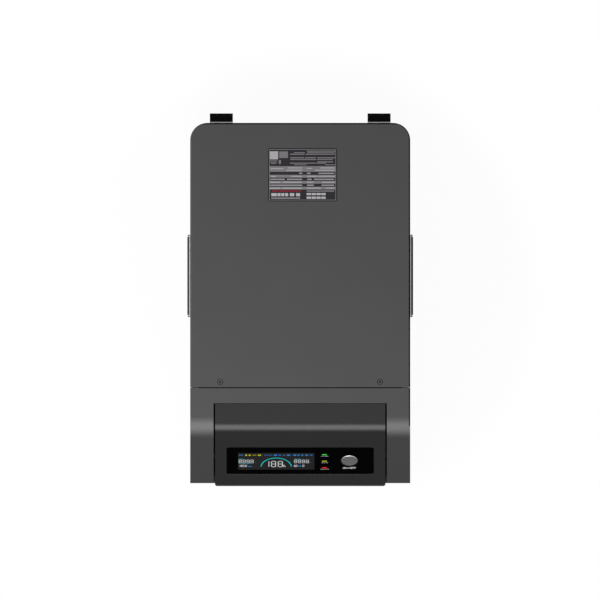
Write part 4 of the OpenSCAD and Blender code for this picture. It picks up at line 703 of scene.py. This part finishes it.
def screw_coat(name, colour, roughness):
    """A coat on the flat of each head, between RECESS_R and RIM_W inside the rim, with painted shade, almost
    black, everywhere else: in the recess, on the rim and below RECESS_SHADE under the head's top. The distance
    is taken from the head's middle, mirrored into one quarter of the frame."""
    material = grained(name, colour, roughness, 0.7 * MM, 0.004 * MM, 0.1, Metallic=0.5)
    tree = material.node_tree
    spot = add(tree, "TexCoord").outputs["Object"]
    quarter = add(tree, "VectorMath", {0: spot}, operation="ABSOLUTE").outputs["Vector"]
    away = add(tree, "VectorMath", {0: quarter, 1: np.abs(screw_at)}, operation="DISTANCE").outputs["Value"]
    height = add(tree, "SeparateXYZ", {0: spot}).outputs["Z"]
    painted_shade = add(tree, "MapRange", {"Value": height, "From Min": screw_at[2],
                                  "From Max": screw_at[2] - RECESS_SHADE}).outputs[0]
    for start, end in ((RECESS_R * (1 + SOFT), RECESS_R), (head_r - RIM_W * (1 + SOFT), head_r - RIM_W)):
        past = add(tree, "MapRange", {"Value": away, "From Min": start, "From Max": end}).outputs[0]
        painted_shade = add(tree, "Math", {0: painted_shade, 1: past}, operation="MAXIMUM").outputs[0]
    blacken(material, painted_shade)
    return material


dress(screw_coat("grey_screw_coat_and_shade", "#606060", 0.42), "cover_screws")
# Moulded rubber has a fine dull grain and hardly any highlight
rubber = grained("black_rubber", "#050505", 0.6, 0.8 * MM, 0.02 * MM, 0.05, edge=EDGE_R,
                 Specular_IOR_Level=0.1)
# Painted shade: a black ring at the bottom of each countersink's gap
shade_ring_profile = np.array(((0, 0), (SHADE_RING_W, 0), (SHADE_RING_W - SHADE_RING_D, -SHADE_RING_D), (-SHADE_RING_D / 2, -SHADE_RING_D), (0, 0)))
shade_ring = revolve(shade_ring_profile + (head_r, 0), SHADE_RING_SIDES)
shade_rings = [shade_ring + screw_at * (side, 1, 1) for side in (-1, 1)]
piece("screw_shade_rings", shade_rings, "housing", rubber)

# ---- Handles ----
# On each side a zinc-plated steel pan is let into the housing. A bail of painted steel lies
# folded in it, on a blackened pin, and carries a ribbed rubber sleeve to grip.
SLEEVE_BORE = 4.06 * MM
SLEEVE_SKIN = 0.02 * MM      # the ribs stay this far inside the sleeve's box
SLEEVE_EDGE = 0.8 * MM
SLEEVE_SIDES = 40
RIB_PITCH = 4 * MM
RIB_DEPTH = 0.5 * MM
RIB_SHARPNESS = 6
RIB_POINTS = 8
CRYSTAL_SHADE = 0.88


def spangled(name, colour, roughness, spangle):
    """Zinc plate: crystals, spangle across, from a cell pattern, each with its own tone and gloss."""
    material = grained(name, colour, roughness, spangle, 0.0, 0.0, Metallic=1.0)
    tree = material.node_tree
    bsdf = tree.nodes["Principled BSDF"]
    spot = add(tree, "TexCoord").outputs["Object"]
    cell = add(tree, "TexVoronoi", {"Vector": spot, "Scale": 1 / spangle}).outputs["Color"]
    one = add(tree, "SeparateColor", {"Color": cell})
    tone = add(tree, "Mix", {"Factor": one.outputs["Red"], "A": toned(colour, CRYSTAL_SHADE),
                             "B": linear(colour)}, data_type="RGBA")
    tree.links.new(tone.outputs["Result"], bsdf.inputs["Base Color"])
    gloss = add(tree, "MapRange", {"Value": one.outputs["Green"], "To Min": roughness - GLOSS_SPREAD,
                                   "To Max": roughness + GLOSS_SPREAD})
    tree.links.new(gloss.outputs[0], bsdf.inputs["Roughness"])
    return material


# Zinc plate is bright and uneven, blackened steel is dark with a metal's gloss, and the bail's paint
# is a little softer than that
zinc = spangled("bright_zinc_plate", "#e6e6e6", 0.34, 5 * MM)
blackened = grained("blackened_steel", "#1c1c1c", 0.4, 0.7 * MM, 0.004 * MM, 0.1, Metallic=0.5)
bail_paint = grained("black_painted_steel", "#262626", 0.45, 0.9 * MM, 0.01 * MM, 0.04, Metallic=0.3)
dress(zinc, "handle_pan_left", "handle_pan_right")
dress(bail_paint, "handle_bail_left", "handle_bail_right")
dress(blackened, "handle_pins")
for side in ("left", "right"):
    low, high = np.array(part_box("handle_grip_" + side))
    grip_r, grip_l = (high - low)[2] / 2 - SLEEVE_SKIN, (high - low)[1]
    end_r = grip_r - SLEEVE_EDGE
    along = np.linspace(SLEEVE_EDGE, grip_l - SLEEVE_EDGE, int(grip_l / RIB_PITCH) * RIB_POINTS + 1)
    rib = grip_r - RIB_DEPTH * np.abs(np.sin(pi * along / RIB_PITCH)) ** RIB_SHARPNESS
    sleeve = np.concatenate([((SLEEVE_BORE, 0), (end_r, 0)), np.stack([rib, along], -1),
                             ((end_r, grip_l), (SLEEVE_BORE, grip_l), (SLEEVE_BORE, 0))])
    start = ((low + high)[0] / 2, high[1], (low + high)[2] / 2)
    sleeve = laid(revolve(sleeve, SLEEVE_SIDES), start, ACROSS, UPRIGHT)
    piece("grip_sleeve_" + side, [sleeve], "handle_" + side, rubber, ["handle_grip_" + side])

# ---- Buffers and feet ----
# Two rubber blocks on zinc-plated steel strips guard the rear, and four turned rubber feet,
# grooved round the side, are held by screws sunk in their soles.
FOOT_BORE = 2.56 * MM
SINK_R = 6 * MM
SINK_D = 6 * MM
FOOT_TAPER = 1.5 * MM
FOOT_R = 18 * MM
FOOT_EDGE = 2 * MM
# The grooves' places and width, as shares of the height
GROOVES, GROOVE_SHARE = (0.35, 0.55, 0.75), 0.035
GROOVE_D = 0.5 * MM
FOOT_SIDES, FOOT_POINTS = 56, 25
dress(rubber, "rear_buffers")
dress(zinc, "buffer_plates")
low, high = np.array(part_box("feet"))
foot_h = (high - low)[2]
side_line = np.linspace(FOOT_EDGE, foot_h, FOOT_POINTS)
groove = np.exp(-((side_line[:, None] / foot_h - GROOVES) / GROOVE_SHARE) ** 2).sum(axis=1)
side_r = FOOT_R - FOOT_TAPER * (1 - side_line / foot_h) - GROOVE_D * groove
sole_r = side_r[0]
foot_profile = np.concatenate([((FOOT_BORE, SINK_D), (SINK_R, SINK_D), (SINK_R, 0)),
                               arc((sole_r - FOOT_EDGE, FOOT_EDGE), FOOT_EDGE, -90, 0, 6),
                               np.stack([side_r, side_line], -1), ((FOOT_BORE, foot_h), (FOOT_BORE, SINK_D))])
foot_x, foot_ys = high[0] - FOOT_R, (low[1] + FOOT_R, high[1] - FOOT_R)
feet = [revolve(foot_profile, FOOT_SIDES) + (x, y, low[2]) for x in (-foot_x, foot_x) for y in foot_ys]
piece("rubber_feet", feet, "housing", rubber, ["feet"])
dress(zinc, "housing_screws")

# ---- Sockets ----
# The sockets sit in a textured black ABS panel below the display. Each mains socket has a
# hinged lid on a steel pin, with a sunk panel, a raised plain pictogram and a finger lip.
# The panel's spark-eroded texture scatters the light, and the lids from a smoother mould look greyer
panel_abs = grained("textured_black_abs", "#181818", 0.55, 0.8 * MM, 0.03 * MM, 0.05, edge=EDGE_R)
lid_abs = grained("dark_grey_lid_abs", "#262626", 0.45, 1.0 * MM, 0.012 * MM, 0.05)
dress(panel_abs, "socket_panel")
dress(satin_black, "ac_outlets", "car_socket")
dress(zinc, "usb_ports", "lid_pins")
# Drawn brass is yellow and shines along the draw
dress(grained("brass_contacts", "#b08a4a", 0.3, 0.6 * MM, 0.002 * MM, 0.08, stretch=(1, 8, 1), Metallic=1.0),
      "socket_contacts")
# The lid's face from its rim inwards, as (inset, height) in mm
LID_STEPS = ((0.4, 0), (0, 0.4), (0, 2.1), (0.3, 2.7), (0.9, 3), (1.1, 3), (4.3, 3), (4.5, 3), (5, 2.6),
             (5.2, 2.6))
LID_T, SUNK_T = 3 * MM, 2.6 * MM
LID_R = 5 * MM
NECK_DROP, NECK_IN, NECK_R = 5 * MM, 3.3 * MM, 0.3 * MM
PIN_BORE = 1.16 * MM
LIP_W, LIP_H, LIP_OUT = 16 * MM, 3 * MM, 1.2 * MM
LIP_R, LIP_EDGE = 0.8 * MM, 0.4 * MM
RING_R, RING_W, RING_SIDES = 8 * MM, 0.9 * MM, 56
DOT_R, DOT_X, DOT_SIDES = 1.5 * MM, 3.2 * MM, 24
KNUCKLE_SIDES = 40


def tube(inner, outer, length, sides):
    """A rectangle from the inner to the outer radius, and from z = 0 to length, turned about z."""
    return revolve([(inner, 0), (outer, 0), (outer, length), (inner, length), (inner, 0)], sides)


lip = plate(LIP_W, LIP_H, LIP_R, ((0, SUNK_T), (0, LID_T + LIP_OUT - LIP_EDGE), (LIP_EDGE, LID_T + LIP_OUT)))
ring = tube(RING_R - RING_W, RING_R, LID_T - SUNK_T, RING_SIDES)
dot = revolve([(0, 0), (DOT_R, 0), (DOT_R, LID_T - SUNK_T), (0, LID_T - SUNK_T)], DOT_SIDES)
for number in range(1, 5):
    low, high = np.array(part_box("outlet_lid_%d" % number))
    lid_w, knuckle_r = (high - low)[0], (high - low)[1] / 2
    drop = (high - low)[2] - knuckle_r
    hinge = ((low + high)[0] / 2, high[1], high[2] - knuckle_r)
    lid_h = drop - NECK_DROP
    lid_v = -NECK_DROP - lid_h / 2
    neck_w = lid_w - 2 * NECK_IN
    face = plate(lid_w, lid_h, LID_R, np.array(LID_STEPS) * MM)
    neck = plate(neck_w, NECK_DROP + LID_R, NECK_R, ((0, 0), (0, LID_T)), 2)
    knuckle = tube(PIN_BORE, knuckle_r, neck_w, KNUCKLE_SIDES)[..., [2, 0, 1]]
    grids = [face + (0, lid_v, 0), neck + (0, -(NECK_DROP + LID_R) / 2, 0),
             knuckle + (-neck_w / 2, 0, knuckle_r), lip + (0, LIP_H / 2 - drop, 0),
             ring + (0, lid_v, SUNK_T), dot + (-DOT_X, lid_v, SUNK_T), dot + (DOT_X, lid_v, SUNK_T)]
    piece("socket_lid_%d" % number, [laid(grid, hinge, ACROSS, UPRIGHT) for grid in grids], "lid_%d" % number,
          lid_abs, ["outlet_lid_%d" % number])

# ---- Rear connections ----
# In the recess at the rear are a nylon mains inlet with three blades, a red rocker switch
# marked I and O, and two yellow nylon solar inputs.
dress(satin_black, "ac_inlet", "main_switch", "fan_frames", "fan_rotor_left", "fan_rotor_right")
dress(zinc, "inlet_pins")
# Nylon is coloured right through and slightly waxy, and the rocker's polycarbonate is glossy and deep red
dress(grained("yellow_nylon", "#c99a1e", 0.4, 1.2 * MM, 0.006 * MM, 0.05), "pv_inputs")
dress(grained("red_polycarbonate", "#a3120e", 0.25, 4 * MM, 0.0, 0.03), "main_rocker")
# Each mark's place above or below the switch's middle, and its width and height, in mm
MARK_STEP, MARK_W, MARK_H = 15, 2.4, 2.2
low, high = np.array(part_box("main_switch"))
switch_middle = np.array(((low + high)[0] / 2, high[1], (low + high)[2] / 2))
marks = lettering("I", (0, MARK_STEP), MARK_W, MARK_H, 0.5)
marks += lettering("O", (0, -MARK_STEP), MARK_W, MARK_H, 0.4)
marks = set_on(switch_middle, marks, across=(-1, 0, 0), up=UPRIGHT)
piece("rocker_marks", marks, "housing", window_print)

# ---- Battery and electronics ----
# Inside, lithium cells in blue film stand in two rows between aluminium plates, joined by
# copper bars. Above them a deck carries the inverter board, its heat sinks and capacitors.
TRACE_W = 0.06               # share of the pitch
PATCH_SHADE, TRACE_SHADE = 0.8, 1.7


def circuit_board(name, colour, pitch):
    """Solder mask over copper traces: a brick pattern, pitch across, whose joints are the paler traces."""
    material = grained(name, colour, 0.35, pitch, 0.0, 0.0)
    tree = material.node_tree
    bricks = add(tree, "TexBrick", {"Vector": add(tree, "TexCoord").outputs["Object"], "Scale": 1 / pitch,
                                    "Mortar Size": TRACE_W, "Color1": linear(colour),
                                    "Color2": toned(colour, PATCH_SHADE),
                                    "Mortar": toned(colour, TRACE_SHADE)})
    tree.links.new(bricks.outputs["Color"], tree.nodes["Principled BSDF"].inputs["Base Color"])
    return material


board = circuit_board("green_circuit_board", "#1d5a33", 6 * MM)
dress(board, "control_board", "inverter_board", "bms_board")
# Brushed aluminium is streaked upwards, drawn copper along its length, and enamelled wire shows its turns
aluminium = grained("brushed_aluminium", "#b9bbbd", 0.35, 0.5 * MM, 0.003 * MM, 0.05, stretch=(1, 1, 20),
                    Metallic=1.0)
dress(aluminium, "divider_deck", "end_plates", "heat_sinks")
dress(zinc, "cell_terminals", "tie_rods")
dress(grained("copper_bar", "#c07a4c", 0.3, 0.6 * MM, 0.002 * MM, 0.06, stretch=(12, 1, 1), Metallic=1.0),
      "busbars")
dress(grained("enamelled_copper_wire", "#a5602c", 0.28, 1.2 * MM, 0.15 * MM, 0.1, stretch=(1, 1, 14),
              Metallic=0.8), "transformer")
# Shrunk film is glossy with faint creases, silicone leads are soft and matt, and ceramic is a dull cream
dress(grained("blue_cell_film", "#20489a", 0.3, 9 * MM, 0.05 * MM, 0.04, stretch=(1, 1, 5)), "battery_cells")
dress(grained("black_capacitor_film", "#18181c", 0.3, 4 * MM, 0.01 * MM, 0.04), "capacitors")
dress(grained("red_silicone_lead", "#a5161a", 0.5, 0.8 * MM, 0.01 * MM, 0.04), "positive_lead")
dress(grained("black_silicone_lead", "#101010", 0.5, 0.8 * MM, 0.01 * MM, 0.04), "negative_lead")
dress(grained("fuse_ceramic", "#cfc9bb", 0.4, 1.4 * MM, 0.006 * MM, 0.04), "main_fuse")
